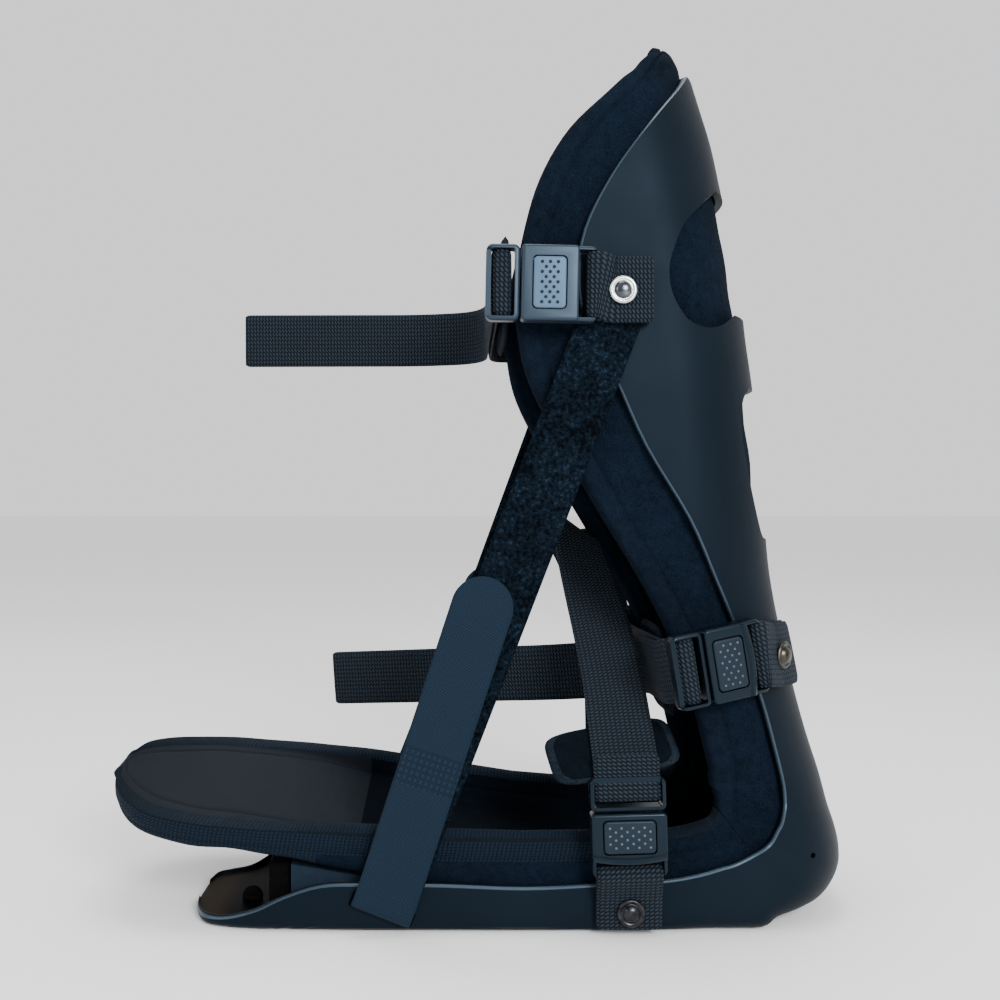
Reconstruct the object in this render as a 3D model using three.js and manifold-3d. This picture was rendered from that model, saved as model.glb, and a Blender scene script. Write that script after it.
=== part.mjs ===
// Night splint for the foot: a rigid trough shell, a padded two-part liner, two tension straps
// and three webbing straps with centre-release buckles.
// Millimetres. The flat sole lies on Z = 0, toe towards -X, heel towards +X, near side -Y.
import * as THREE from "three";
import Module from "manifold-3d";
import { mergeVertices } from "three/addons/utils/BufferGeometryUtils.js";

const wasm = await Module();
wasm.setup();
const { Manifold, Mesh } = wasm;

// Driving sizes
const REACH = 150; // from the middle of the sole back to the rearmost point of the heel
const HEIGHT = 345; // height of the shell's top edge
const HALF_WIDTH = 50; // half the width of the shell
const WALL = 3; // thickness of the shell
const GAP = 0.4; // clearance between neighbouring pieces
const LINER_GAP = 1.4; // room left round the soft liner
const LINER = 8.5; // thickness of the padded liner
const TOE_PAD = 11; // thickness of the liner where it runs out past the shell
const STRAP_WIDTH = 25; // webbing
const WEBBING = 1.5; // thickness of the webbing
const TENSION_WIDTH = 24;
const TENSION_THICK = 1.5;
const BODY_LENGTH = 22;
const BODY_WIDTH = 28.9;
const BODY_DEPTH = 7.4;
const FRAME_LENGTH = 13;
const FRAME_RAIL = 2;
const FRAME_DEPTH = 6.4;
const BUTTON_LENGTH = 12.4;
const BUTTON_WIDTH = 19.6;
const RIVET_RADIUS = 5.4;
const RIVET_HEIGHT = 2.6;
const STUD_RADIUS = 4.2;
const SLOT_HEIGHT = 4.6;
const HEEL_HOLE = 1.1; // radius
const PAD_THICK = 6;
const FLOOR_FACETS = 2; // facets of half a trough section
const CORNER_FACETS = 6;
const WALL_FACETS = 2;

// Cross-sections of the shell from toe to calf. Each lies in the plane from the base point on the
// back or sole line towards the rim point. Columns: base x, base z, rim x, rim z, reach of the
// liner's edge from the base, half-width, corner across, corner along.
// The x columns are shares of REACH, the z columns and the reach shares of HEIGHT, the rest
// shares of HALF_WIDTH. The rim's z is measured from the top of the sole, WALL up.
const SHELL = [
  [-0.802, 0, -0.802, 0.0008, 0, 0.24, 0.07, 0.07],
  [-0.789, 0, -0.789, 0.0013, 0, 0.42, 0.07, 0.07],
  [-0.755, 0, -0.755, 0.0023, 0, 0.54, 0.07, 0.07],
  [-0.69, 0, -0.69, 0.0053, 0, 0.64, 0.07, 0.07],
  [-0.613, 0, -0.613, 0.0153, 0, 0.89, 0.07, 0.07],
  [-0.54, 0, -0.54, 0.0303, 0, 0.98, 0.07, 0.07],
  [-0.447, 0, -0.447, 0.0433, 0, 0.99, 0.07, 0.07],
  [-0.333, 0, -0.333, 0.0453, 0.107, 1, 0.07, 0.07],
  [-0.133, 0, -0.133, 0.0443, 0.107, 1, 0.07, 0.07],
  [0.08, 0, 0.08, 0.0413, 0.106, 1, 0.07, 0.07],
  [0.28, 0, 0.28, 0.0453, 0.106, 1, 0.07, 0.07],
  [0.44, 0, 0.44, 0.0493, 0.107, 1, 0.08, 0.08],
  [0.573, 0, 0.533, 0.0563, 0.115, 1, 0.12, 0.12],
  [0.7, 0, 0.607, 0.0653, 0.134, 1, 0.2, 0.2],
  [0.75, 0.007, 0.64, 0.0703, 0.1397, 0.99, 0.4, 0.32],
  [0.816, 0.01, 0.673, 0.0773, 0.1596, 0.98, 0.6, 0.48],
  [0.887, 0.017, 0.7, 0.0843, 0.1793, 0.98, 0.74, 0.6],
  [0.94, 0.03, 0.72, 0.0923, 0.1923, 0.97, 0.8, 0.66],
  [0.973, 0.049, 0.733, 0.1033, 0.1973, 0.97, 0.84, 0.7],
  [0.98, 0.07, 0.743, 0.1113, 0.1933, 0.97, 0.86, 0.72],
  [0.97, 0.093, 0.75, 0.1233, 0.1843, 0.97, 0.88, 0.74],
  [0.95, 0.119, 0.755, 0.1363, 0.1703, 0.97, 0.88, 0.76],
  [0.923, 0.157, 0.753, 0.1563, 0.1533, 0.97, 0.9, 0.78],
  [0.89, 0.203, 0.735, 0.1943, 0.1443, 0.97, 0.9, 0.8],
  [0.857, 0.255, 0.7, 0.2483, 0.1453, 0.98, 0.92, 0.82],
  [0.817, 0.33, 0.637, 0.3243, 0.1563, 0.98, 0.92, 0.84],
  [0.787, 0.397, 0.573, 0.3883, 0.1753, 0.99, 0.92, 0.84],
  [0.767, 0.464, 0.503, 0.4553, 0.2093, 1, 0.92, 0.84],
  [0.749, 0.545, 0.392, 0.5363, 0.2493, 1, 0.92, 0.84],
  [0.732, 0.62, 0.313, 0.6113, 0.2793, 1, 0.92, 0.84],
  [0.72, 0.678, 0.24, 0.6693, 0.2843, 1, 0.92, 0.84],
  [0.707, 0.73, 0.217, 0.7213, 0.2803, 1, 0.92, 0.84],
  [0.687, 0.788, 0.233, 0.7793, 0.2633, 1, 0.92, 0.84],
  [0.657, 0.852, 0.307, 0.8433, 0.2293, 1, 0.92, 0.84],
  [0.632, 0.91, 0.403, 0.9013, 0.183, 0.99, 0.92, 0.84],
  [0.6, 0.959, 0.49, 0.9503, 0.1245, 0.98, 0.92, 0.84],
  [0.577, 0.997, 0.537, 0.9843, 0.092, 0.97, 0.92, 0.84],
];
// Sideways shift of the first shell rows, as shares of HALF_WIDTH: the toe end is askew
const ASKEW = [-0.26, -0.26, -0.32, -0.296, -0.08];
const FIRST_SHARED = 10; // first shell row that the foot part of the liner shares
const SEAM = 15; // row where the two parts of the liner meet

// The tongue of the liner above the shell. Same columns as SHELL.
const TONGUE = [
  [0.557, 1.0104, 0.467, 0.9968, 0.08, 0.94, 0.9, 0.84],
  [0.525, 1.0313, 0.455, 1.0131, 0.057, 0.82, 0.8, 0.8],
  [0.497, 1.0443, 0.46, 1.0287, 0.0428, 0.58, 0.56, 0.7],
];

// The foot part of the liner from the tip to mid-foot. Columns: x as a share of REACH; underside
// as a share of HEIGHT; rise of the edge over it as a share of TOE_PAD; half-width as a share of
// HALF_WIDTH; roll, the rise per unit of width towards the far side; thickness as a share of
// TOE_PAD.
const TOE = [
  [-1.051, 0.1385, 0.67, 0.26, 0.13, 0.64],
  [-1.029, 0.131, 0.84, 0.5, 0.13, 0.78],
  [-0.978, 0.1206, 0.96, 0.71, 0.14, 0.89],
  [-0.905, 0.1136, 0.97, 0.86, 0.14, 0.91],
  [-0.795, 0.1081, 0.99, 0.945, 0.14, 0.91],
  [-0.68, 0.1026, 1.02, 0.96, 0.14, 0.91],
  [-0.56, 0.0957, 1.127, 0.955, 0.14, 0.91],
  [-0.44, 0.0841, 1.418, 0.945, 0.13, 0.91],
  [-0.333, 0.0701, 1.7545, 0.93, 0.12, 0.87],
  [-0.133, 0.05, 2.1014, 0.926, 0.08, 0.8],
  [0.08, 0.0295, 2.5248, 0.926, 0.03, 0.78],
];

function rowOf(shares) {
  const [bx, bz, rx, rz, reach, w, a, b] = shares;
  const base = [bx * REACH, bz * HEIGHT];
  const rim = [rx * REACH, WALL + rz * HEIGHT];
  const depth = Math.hypot(rim[0] - base[0], rim[1] - base[1]);
  const along = [(rim[0] - base[0]) / depth, (rim[1] - base[1]) / depth];
  return {
    base,
    along,
    depth,
    reach: reach * HEIGHT,
    w: w * HALF_WIDTH,
    a: a * HALF_WIDTH,
    b: b * HALF_WIDTH,
    roll: 0,
  };
}

// The right half of one U-shaped section as pairs of (y, distance from the base): flat floor,
// rounded corner, straight wall. A section that ends inside its corner has no wall.
function halfSection(w, a, b, depth) {
  const pts = [[0, 0]];
  for (let i = 1; i <= FLOOR_FACETS; i++) pts.push([((w - a) * i) / FLOOR_FACETS, 0]);
  const whole = depth > b + 0.5;
  const angle = Math.PI / 2 / CORNER_FACETS;
  const last = whole ? Math.PI / 2 : Math.acos(Math.max(1 - depth / b, 0));
  const even = whole ? CORNER_FACETS : Math.max(Math.floor(last / angle - 0.2), 0);
  const corner = (t) => pts.push([w - a + a * Math.sin(t), b * (1 - Math.cos(t))]);
  for (let i = 1; i <= even; i++) corner(i * angle);
  const rest = CORNER_FACETS + WALL_FACETS - even;
  for (let i = 1; i <= rest; i++) {
    if (whole) pts.push([w, b + ((depth - b) * i) / rest]);
    else corner(even * angle + ((last - even * angle) * i) / rest);
  }
  return pts;
}

// One section of a trough surface that lies `inset` inside the row's outline.
function section(row, depth, inset) {
  const w = row.w - inset;
  const a = Math.max(Math.min(row.a - inset, w - 0.5), 1);
  const b = Math.max(row.b - inset, 1);
  const half = halfSection(w, a, b, depth - inset);
  const both = [...half.slice(1).reverse().map(([y, q]) => [-y, q]), ...half];
  return both.map(([y, q]) => [
    row.base[0] + row.along[0] * (inset + q),
    y + (row.aside ?? 0),
    row.base[1] + row.along[1] * (inset + q) + row.roll * y,
  ]);
}

function volumeOf(pos, index) {
  let v = 0;
  for (let i = 0; i < index.length; i += 3) {
    const [a, b, c] = [0, 1, 2].map((k) => pos[index[i + k]]);
    v += a[0] * (b[1] * c[2] - b[2] * c[1]);
    v += a[1] * (b[2] * c[0] - b[0] * c[2]);
    v += a[2] * (b[0] * c[1] - b[1] * c[0]);
  }
  return v;
}

function geometryOf(pos, index) {
  if (volumeOf(pos, index) < 0) {
    for (let i = 0; i < index.length; i += 3) {
      [index[i + 1], index[i + 2]] = [index[i + 2], index[i + 1]];
    }
  }
  const g = new THREE.BufferGeometry();
  g.setAttribute("position", new THREE.Float32BufferAttribute(pos.flat(), 3));
  g.setIndex(index);
  return g;
}

// Skins closed rings of points into one solid, with flat fans on both ends.
function skin(rings) {
  const n = rings[0].length;
  const pos = rings.flat();
  const index = [];
  for (let i = 0; i + 1 < rings.length; i++) {
    for (let j = 0; j < n; j++) {
      const a = i * n + j;
      const b = i * n + ((j + 1) % n);
      index.push(a, b, b + n, a, b + n, a + n);
    }
  }
  return { pos, index, n };
}

// A walled trough through the rows: outer skin, inner skin, and the edge between them.
function trough(rows, depthOf, inset, thickOf) {
  const rings = rows.map((row) => {
    const outer = section(row, depthOf(row), inset);
    const inner = section(row, depthOf(row), inset + thickOf(row));
    return [...outer, ...inner.reverse()];
  });
  const { pos, index, n } = skin(rings);
  const half = n / 2;
  const last = (rings.length - 1) * n;
  for (let j = 0; j + 1 < half; j++) {
    const k = n - 1 - j;
    index.push(j, k, k - 1, j, k - 1, j + 1);
    index.push(last + j, last + k - 1, last + k, last + j, last + j + 1, last + k - 1);
  }
  return geometryOf(pos, index);
}

function solid(geometry) {
  const g = geometry.clone();
  g.deleteAttribute("normal");
  g.deleteAttribute("uv");
  const merged = mergeVertices(g, 1e-3);
  return new Manifold(
    new Mesh({
      numProp: 3,
      vertProperties: merged.attributes.position.array,
      triVerts: new Uint32Array(merged.index.array),
    }),
  );
}

function geometryFrom(manifold) {
  const m = manifold.getMesh();
  const g = new THREE.BufferGeometry();
  g.setAttribute("position", new THREE.BufferAttribute(new Float32Array(m.vertProperties), 3));
  g.setIndex(new THREE.BufferAttribute(new Uint32Array(m.triVerts), 1));
  return g;
}

// A flat outline in the X-Z plane, extruded from one Y to another.
function prism(outline, fromY, toY) {
  const shape = new THREE.Shape(outline.map(([x, z]) => new THREE.Vector2(x, z)));
  const g = new THREE.ExtrudeGeometry(shape, { depth: toY - fromY, bevelEnabled: false });
  g.rotateX(Math.PI / 2);
  g.translate(0, toY, 0);
  return g;
}

// Materials
function paint(color, roughness, metalness = 0) {
  return () => new THREE.MeshStandardMaterial({ color, roughness, metalness });
}
const shellPlastic = paint(0x1b2129, 0.55);
const linerCloth = paint(0x0e141d, 0.95);
const foamGrey = paint(0x2b333c, 0.9);
const hookBlack = paint(0x0b0d10, 0.9);
const loopCloth = paint(0x0c131b, 0.95);
const webbingCloth = paint(0x12181f, 0.85);
const bucklePlastic = paint(0x181d23, 0.4);
const buttonPlastic = paint(0x39424d, 0.4);
const chrome = paint(0xb9b9b4, 0.2, 1);
const darkChrome = paint(0x5a5a5c, 0.3, 1);
const bronze = paint(0x6b6350, 0.3, 1);

const splint = new THREE.Group();
splint.name = "night_splint";

function add(name, geometry, material) {
  const mesh = new THREE.Mesh(geometry, material());
  mesh.name = name;
  splint.add(mesh);
  return mesh;
}

// Shell with its windows, strap slots, slot lips and heel hole
const shellRows = SHELL.map((shares, i) => ({ ...rowOf(shares), aside: (ASKEW[i] ?? 0) * HALF_WIDTH }));
const plainShell = trough(shellRows, (r) => r.depth, 0, () => WALL);

// Outlines of the two windows, seen from the side: columns x as a share of REACH and z of HEIGHT.
const UPPER_WINDOW = [
  [0.9, 0.846], [0.6, 0.846], [0.54, 0.819], [0.49, 0.793], [0.465, 0.767],
  [0.453, 0.747], [0.457, 0.722], [0.483, 0.698], [0.513, 0.685], [0.558, 0.68],
  [0.603, 0.685], [0.65, 0.7], [0.9, 0.7],
];
const LOWER_WINDOW = [
  [0.95, 0.617], [0.7, 0.617], [0.672, 0.603], [0.66, 0.58], [0.665, 0.55],
  [0.69, 0.5], [0.725, 0.45], [0.75, 0.438], [0.95, 0.438],
];
const scaled = (outline) => outline.map(([x, z]) => [x * REACH, z * HEIGHT]);

// Tension straps run straight from the calf rivet to the toe slot.
const CALF_RIVET = [0.326 * REACH, 0.716 * HEIGHT];
const TOE_SLOT = [-0.29 * REACH, 0.024 * HEIGHT];
const strapRun = Math.hypot(TOE_SLOT[0] - CALF_RIVET[0], TOE_SLOT[1] - CALF_RIVET[1]);
const strapDown = [
  (TOE_SLOT[0] - CALF_RIVET[0]) / strapRun,
  (TOE_SLOT[1] - CALF_RIVET[1]) / strapRun,
];
const strapAcross = [-strapDown[1], strapDown[0]];
const alongStrap = (s, t) => [
  CALF_RIVET[0] + strapDown[0] * s + strapAcross[0] * t,
  CALF_RIVET[1] + strapDown[1] * s + strapAcross[1] * t,
];

function slotOutline(halfLength, low, high) {
  return [
    alongStrap(strapRun + low, -halfLength),
    alongStrap(strapRun + low, halfLength),
    alongStrap(strapRun + high, halfLength),
    alongStrap(strapRun + high, -halfLength),
  ];
}

let shell = solid(plainShell);
shell = shell.subtract(solid(prism(scaled(UPPER_WINDOW), -90, 90)));
shell = shell.subtract(solid(prism(scaled(LOWER_WINDOW), -90, 90)));
const slotHalf = TENSION_WIDTH / 2 + 0.8;
for (const side of [-1, 1]) {
  const outside = side * (HALF_WIDTH + 2.4);
  const inside = side * (HALF_WIDTH - 1);
  const lip = slotOutline(slotHalf + 0.6, SLOT_HEIGHT / 2, SLOT_HEIGHT / 2 + 2.2);
  shell = shell.add(solid(prism(lip, Math.min(outside, inside), Math.max(outside, inside))));
  const hole = slotOutline(slotHalf, -0.8 * SLOT_HEIGHT, SLOT_HEIGHT / 2);
  const deep = side * (HALF_WIDTH - 12);
  const clear = side * (HALF_WIDTH + 12);
  shell = shell.subtract(solid(prism(hole, Math.min(deep, clear), Math.max(deep, clear))));
  const drill = new THREE.CylinderGeometry(HEEL_HOLE, HEEL_HOLE, 24, 12);
  drill.translate(0.83 * REACH, side * 0.78 * HALF_WIDTH, 0.083 * HEIGHT);
  shell = shell.subtract(solid(drill));
}
const below = new THREE.BoxGeometry(4 * REACH, 4 * HALF_WIDTH, 20);
below.translate(0, 0, -10);
shell = shell.subtract(solid(below));
add("shell", geometryFrom(shell), shellPlastic);

// Liner
const linerInset = WALL + LINER_GAP;
const seamGap = 0.5 * GAP;
const calfRows = shellRows.slice(SEAM).concat(TONGUE.map(rowOf));
const linerReach = (r) => r.reach;
const calfFirst = {
  ...calfRows[0],
  base: [
    calfRows[0].base[0] + seamGap,
    calfRows[0].base[1] + seamGap,
  ],
};
add(
  "calf_liner",
  trough([calfFirst, ...calfRows.slice(1)], linerReach, linerInset, () => LINER),
  linerCloth,
);
const toeRows = TOE.map(([x, under, rise, w, roll, thick]) => ({
  base: [x * REACH, under * HEIGHT - linerInset],
  along: [0, 1],
  reach: rise * TOE_PAD + linerInset,
  w: w * HALF_WIDTH + linerInset,
  a: 7 + linerInset,
  b: 7 + linerInset,
  roll,
  thick: thick * TOE_PAD,
}));
const footRows = shellRows.slice(FIRST_SHARED, SEAM + 1).map((r) => ({ ...r, thick: LINER }));
const seamRow = footRows[footRows.length - 1];
footRows[footRows.length - 1] = {
  ...seamRow,
  base: [seamRow.base[0] - seamGap, seamRow.base[1] - seamGap],
  w: seamRow.w - 0.1,
};
add("foot_liner", trough([...toeRows, ...footRows], linerReach, linerInset, (r) => r.thick), linerCloth);

// Foam wedge under the toes, the dark strip at its end and the stud in front of it
const wedgeTop = (x) => 0.067 * HEIGHT + ((x / REACH + 0.533) / 0.733) * (0.0125 - 0.067) * HEIGHT;
const wedgeEnds = [-0.533 * REACH, 0.2 * REACH];
const wedgeOutline = [
  [wedgeEnds[0], WALL + GAP],
  [wedgeEnds[1], WALL + GAP],
  [wedgeEnds[1], wedgeTop(wedgeEnds[1])],
  [wedgeEnds[0], wedgeTop(wedgeEnds[0])],
];
const wedgeHalf = 0.8 * HALF_WIDTH;
add("toe_wedge", prism(wedgeOutline, -wedgeHalf, wedgeHalf), foamGrey);
const hookOutline = [
  [wedgeEnds[0] - 0.062 * REACH, WALL + GAP],
  [wedgeEnds[0] - GAP, WALL + GAP],
  [wedgeEnds[0] - GAP, 0.0665 * HEIGHT],
  [wedgeEnds[0] - 0.062 * REACH, 0.067 * HEIGHT],
];
add("hook_block", prism(hookOutline, -0.74 * HALF_WIDTH, 0.74 * HALF_WIDTH), hookBlack);
const stud = new THREE.CylinderGeometry(STUD_RADIUS, STUD_RADIUS, 1.6, 20);
stud.rotateX(Math.PI / 2);
stud.translate(-0.655 * REACH, -0.46 * HALF_WIDTH, WALL + GAP + 0.8);
add("toe_stud", stud, hookBlack);

// A flat band: rectangular section of the given width and thickness swept through the points.
// Each point carries its own width direction.
function band(points, widths, acrossOf, thick) {
  const rings = points.map((p, i) => {
    const before = points[Math.max(i - 1, 0)];
    const after = points[Math.min(i + 1, points.length - 1)];
    const t = new THREE.Vector3().subVectors(after, before).normalize();
    const w = acrossOf(i, p).clone();
    w.addScaledVector(t, -w.dot(t)).normalize();
    const n = new THREE.Vector3().crossVectors(t, w).normalize();
    const half = (typeof widths === "number" ? widths : widths[i]) / 2;
    return [
      [-half, -thick / 2],
      [half, -thick / 2],
      [half, thick / 2],
      [-half, thick / 2],
    ].map(([a, b]) => {
      const q = p.clone().addScaledVector(w, a).addScaledVector(n, b);
      return [q.x, q.y, q.z];
    });
  });
  const { pos, index } = skin(rings);
  const last = (rings.length - 1) * 4;
  index.push(0, 2, 1, 0, 3, 2);
  index.push(last, last + 1, last + 2, last, last + 2, last + 3);
  return geometryOf(pos, index);
}

// Smooth corners: replaces each inner corner of a path by a short curve.
function rounded(corners, radius, steps = 4) {
  const out = [corners[0].clone()];
  for (let i = 1; i + 1 < corners.length; i++) {
    const c = corners[i];
    if (Array.isArray(radius) && radius[i] === 0) {
      out.push(c.clone());
      continue;
    }
    const a = new THREE.Vector3().subVectors(corners[i - 1], c);
    const b = new THREE.Vector3().subVectors(corners[i + 1], c);
    const r = Math.min(Array.isArray(radius) ? radius[i] : radius, a.length() * 0.49, b.length() * 0.49);
    const p = c.clone().addScaledVector(a.normalize(), r);
    const q = c.clone().addScaledVector(b.normalize(), r);
    for (let k = 0; k <= steps; k++) {
      const t = k / steps;
      const m = p.clone().multiplyScalar((1 - t) * (1 - t));
      m.addScaledVector(c, 2 * t * (1 - t)).addScaledVector(q, t * t);
      out.push(m);
    }
  }
  out.push(corners[corners.length - 1].clone());
  return out;
}

// Tension strap: down outside the shell, in through the slot, round, out again and up its own face.
function tensionStrap(side) {
  const outer = HALF_WIDTH + 0.35 + TENSION_THICK / 2;
  const top = -0.047 * HEIGHT;
  const end = 0.53 * strapRun;
  const drift = (s) => -0.053 * Math.max(strapRun - 8 - s, 0);
  const drop = SLOT_HEIGHT / 2 - 0.45 - TENSION_THICK / 2;
  const inner = HALF_WIDTH - 5.2;
  const path = [
    [top, outer],
    [0.5 * strapRun, outer],
    [strapRun - 8, outer],
    [strapRun - drop - 1.2, outer - 0.2],
    [strapRun - drop, outer - 2.6],
    [strapRun - drop, inner + 0.6],
    [strapRun - drop * 0.5, inner - 0.5],
    [strapRun + drop * 0.5, inner - 0.5],
    [strapRun + drop, inner + 0.6],
    [strapRun + drop, outer + 0.6],
    [strapRun + drop - 1.2, outer + 2.6],
    [strapRun - 5, outer + TENSION_THICK + 1.3],
    [strapRun - 16, outer + TENSION_THICK + 0.5],
    [end * 0.5 + strapRun * 0.5, outer + TENSION_THICK + 0.5],
  ];
  const tipLength = TENSION_WIDTH / 2;
  const startOfTip = strapRun - end + tipLength;
  path.push([startOfTip, outer + TENSION_THICK + 0.5]);
  const widths = path.map(() => TENSION_WIDTH);
  for (const t of [0.3, 0.55, 0.75, 0.88, 0.96, 0.995]) {
    path.push([startOfTip - tipLength * t, outer + TENSION_THICK + 0.5]);
    widths.push(TENSION_WIDTH * Math.sqrt(1 - t * t));
  }
  const across = new THREE.Vector3(strapAcross[0], 0, strapAcross[1]);
  const points = path.map(([s, y], i) => {
    const [x, z] = alongStrap(s, i > 11 ? drift(s) : 0);
    return new THREE.Vector3(x, side * y, z);
  });
  return band(points, widths, () => across, TENSION_THICK);
}
add("tension_strap_near", tensionStrap(-1), loopCloth);
add("tension_strap_far", tensionStrap(1), loopCloth);

// Buckles. Local axes: u from the body towards the frame, v across, n outwards.
function placement(origin, u, n) {
  const v = new THREE.Vector3().crossVectors(n, u);
  return new THREE.Matrix4().makeBasis(u, v, n).setPosition(origin);
}

function boxAt(u0, u1, v0, v1, n0, n1) {
  const g = new THREE.BoxGeometry(u1 - u0, v1 - v0, n1 - n0);
  g.translate((u0 + u1) / 2, (v0 + v1) / 2, (n0 + n1) / 2);
  return solid(g);
}

// A plate with rounded corners between two heights along n.
function plate(length, width, corner, n0, n1) {
  const s = new THREE.Shape();
  const [a, b] = [length / 2, width / 2];
  s.moveTo(-a + corner, -b);
  s.lineTo(a - corner, -b);
  s.quadraticCurveTo(a, -b, a, -b + corner);
  s.lineTo(a, b - corner);
  s.quadraticCurveTo(a, b, a - corner, b);
  s.lineTo(-a + corner, b);
  s.quadraticCurveTo(-a, b, -a, b - corner);
  s.lineTo(-a, -b + corner);
  s.quadraticCurveTo(-a, -b, -a + corner, -b);
  const g = new THREE.ExtrudeGeometry(s, { depth: n1 - n0, bevelEnabled: false, curveSegments: 3 });
  g.translate(0, 0, n0);
  return solid(g);
}

const BAR = 2.2;
const TURN_IN = 8.6; // from the joint to where the inner layer of a strap turns inwards
const LONG_BODY = { body: BODY_LENGTH, arm: 7.2 };
const SHORT_BODY = { body: 0.82 * BODY_LENGTH, arm: 6.6 };

const buttonAt = (long) => -0.5 * long + 0.2;

// u = 0 at the joint between the body and the frame; the body lies at u < 0.
function buckleBody({ body: long, arm }) {
  let body = plate(long + arm, BODY_WIDTH, 2.4, 0, BODY_DEPTH);
  body = body.translate([-(long + arm) / 2, 0, 0]);
  const back = -long - arm;
  const halfSlot = STRAP_WIDTH / 2 + 0.4;
  body = body.subtract(boxAt(back + BAR, -long, -halfSlot, halfSlot, -1, BODY_DEPTH + 1));
  body = body.subtract(boxAt(back - 1, back + BAR + 0.1, -halfSlot, halfSlot, 4, BODY_DEPTH + 1));
  body = body.subtract(boxAt(back - 1, back + BAR + 0.1, -halfSlot, halfSlot, -1, 2.5));
  let well = plate(BUTTON_LENGTH + 0.9, BUTTON_WIDTH + 0.9, 1.6, BODY_DEPTH - 2.4, BODY_DEPTH + 1);
  well = well.translate([buttonAt(long), 0, 0]);
  return body.subtract(well);
}

function buckleButton({ body: long }) {
  const top = plate(BUTTON_LENGTH, BUTTON_WIDTH, 1.4, BODY_DEPTH - 2, BODY_DEPTH + 0.3);
  return top.translate([buttonAt(long), 0, 0]);
}

function buckleFrame() {
  let frame = plate(FRAME_LENGTH, BODY_WIDTH + 0.2, 2.4, 0.4, FRAME_DEPTH);
  frame = frame.translate([FRAME_LENGTH / 2 + GAP, 0, 0]);
  const halfSlot = STRAP_WIDTH / 2 + 0.4;
  const [u0, u1] = [GAP + FRAME_RAIL, GAP + FRAME_LENGTH - FRAME_RAIL];
  frame = frame.subtract(boxAt(u0, u1, -halfSlot, halfSlot, -1, FRAME_DEPTH + 1));
  frame = frame.subtract(boxAt(u1 - 0.1, u1 + FRAME_RAIL + 1, -halfSlot, halfSlot, -1, 4.9));
  const mid = (u0 + u1) / 2;
  return frame.add(boxAt(mid - 0.9, mid + 0.9, -halfSlot - 0.5, halfSlot + 0.5, 2.1, 3.7));
}

const barCentre = GAP + FRAME_LENGTH / 2;

// Webbing through the frame, from the tail side to the strap side: over the bar and back under it.
// Columns: along the buckle, outwards. Straps that turn inwards do so between the bar and the rail.
const overBar = [[barCentre, 4.95], [barCentre - 1.7, 4.7]];
const turn = [[barCentre - 2.6, 3.6], [barCentre - 2.6, 2.2], [barCentre - 1.7, 1.1]];
const threaded = {
  upOver: [[FRAME_LENGTH + 2.5, 3.55], [FRAME_LENGTH - 0.4, 3.7], [barCentre + 2.4, 4.75], ...overBar],
  upUnder: [[barCentre + 1.5, 0.95], [FRAME_LENGTH, 1.2], [FRAME_LENGTH + 2.5, 1.45]],
  inOver: [[TURN_IN + 1.8, -3], [TURN_IN + 1.8, 0.8], [TURN_IN + 1.6, 3.2], [TURN_IN, 4.8], ...overBar],
  inUnder: [[barCentre, 0.9], [TURN_IN - 0.5, 0.5], [TURN_IN, -0.9], [TURN_IN, -3]],
};

const toWorld = (m, u, n) => new THREE.Vector3(u, 0, n).applyMatrix4(m);
const nearOut = new THREE.Vector3(0, -1, 0);
const up = new THREE.Vector3(0, 0, 1);

// The outline of the shell in plan at a height, pushed outwards by a distance.
function wallPoint(z, q, push, side) {
  let i = FIRST_SHARED + 12;
  while (i + 2 < shellRows.length && shellRows[i + 1].base[1] < z) i++;
  const [r, s] = [shellRows[i], shellRows[i + 1]];
  const t = (z - r.base[1]) / (s.base[1] - r.base[1]);
  const mix = (key) => r[key] + t * (s[key] - r[key]);
  const [w, a, b] = [mix("w") + push, mix("a") + push, mix("b") + push];
  const baseX = r.base[0] + t * (s.base[0] - r.base[0]) + push;
  const c = Math.max(-1, Math.min(1, 1 - (q + push) / b));
  const y = q + push >= b ? w : w - a + a * Math.sqrt(1 - c * c);
  return new THREE.Vector3(baseX - q - push, side * y, z);
}

// Positions of the three buckles: the point between body and frame, as shares of REACH and HEIGHT.
const lean = (a, b) => new THREE.Vector3(a, 0, b).normalize();
const ANKLE_TURN = 0.245; // radians that the ankle buckle turns round the heel
const calfJoint = CALF_RIVET[0] - LONG_BODY.body - LONG_BODY.arm - 1.787 * RIVET_RADIUS;
const calfCross = calfJoint - TURN_IN; // where the calf strap crosses
const ANKLE_RIVET_Z = 0.307 * HEIGHT;
const ankleRivetQ = 0.19 * HALF_WIDTH;
const ankleBack = wallPoint(ANKLE_RIVET_Z, 0, 0, 1).x;
const ankleJoint = ankleBack - ankleRivetQ - SHORT_BODY.body - SHORT_BODY.arm - 1.96 * RIVET_RADIUS;
const ankleCross = ankleJoint - 1.3 * TURN_IN; // where the ankle strap crosses
const BUCKLES = {
  calf: {
    at: new THREE.Vector3(calfJoint, -HALF_WIDTH - 2.3, 0.7235 * HEIGHT),
    u: lean(-1, 0.02),
    size: LONG_BODY,
    turn: 0,
  },
  ankle: {
    at: new THREE.Vector3(ankleJoint, -HALF_WIDTH - 1.9, 0.2995 * HEIGHT),
    u: lean(-0.985, -0.17),
    size: SHORT_BODY,
    turn: ANKLE_TURN,
  },
  instep: {
    at: new THREE.Vector3(0.339 * REACH, -HALF_WIDTH - 2.3, 0.1405 * HEIGHT),
    u: lean(-0.03, 1),
    size: SHORT_BODY,
    turn: 0,
  },
};
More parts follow.
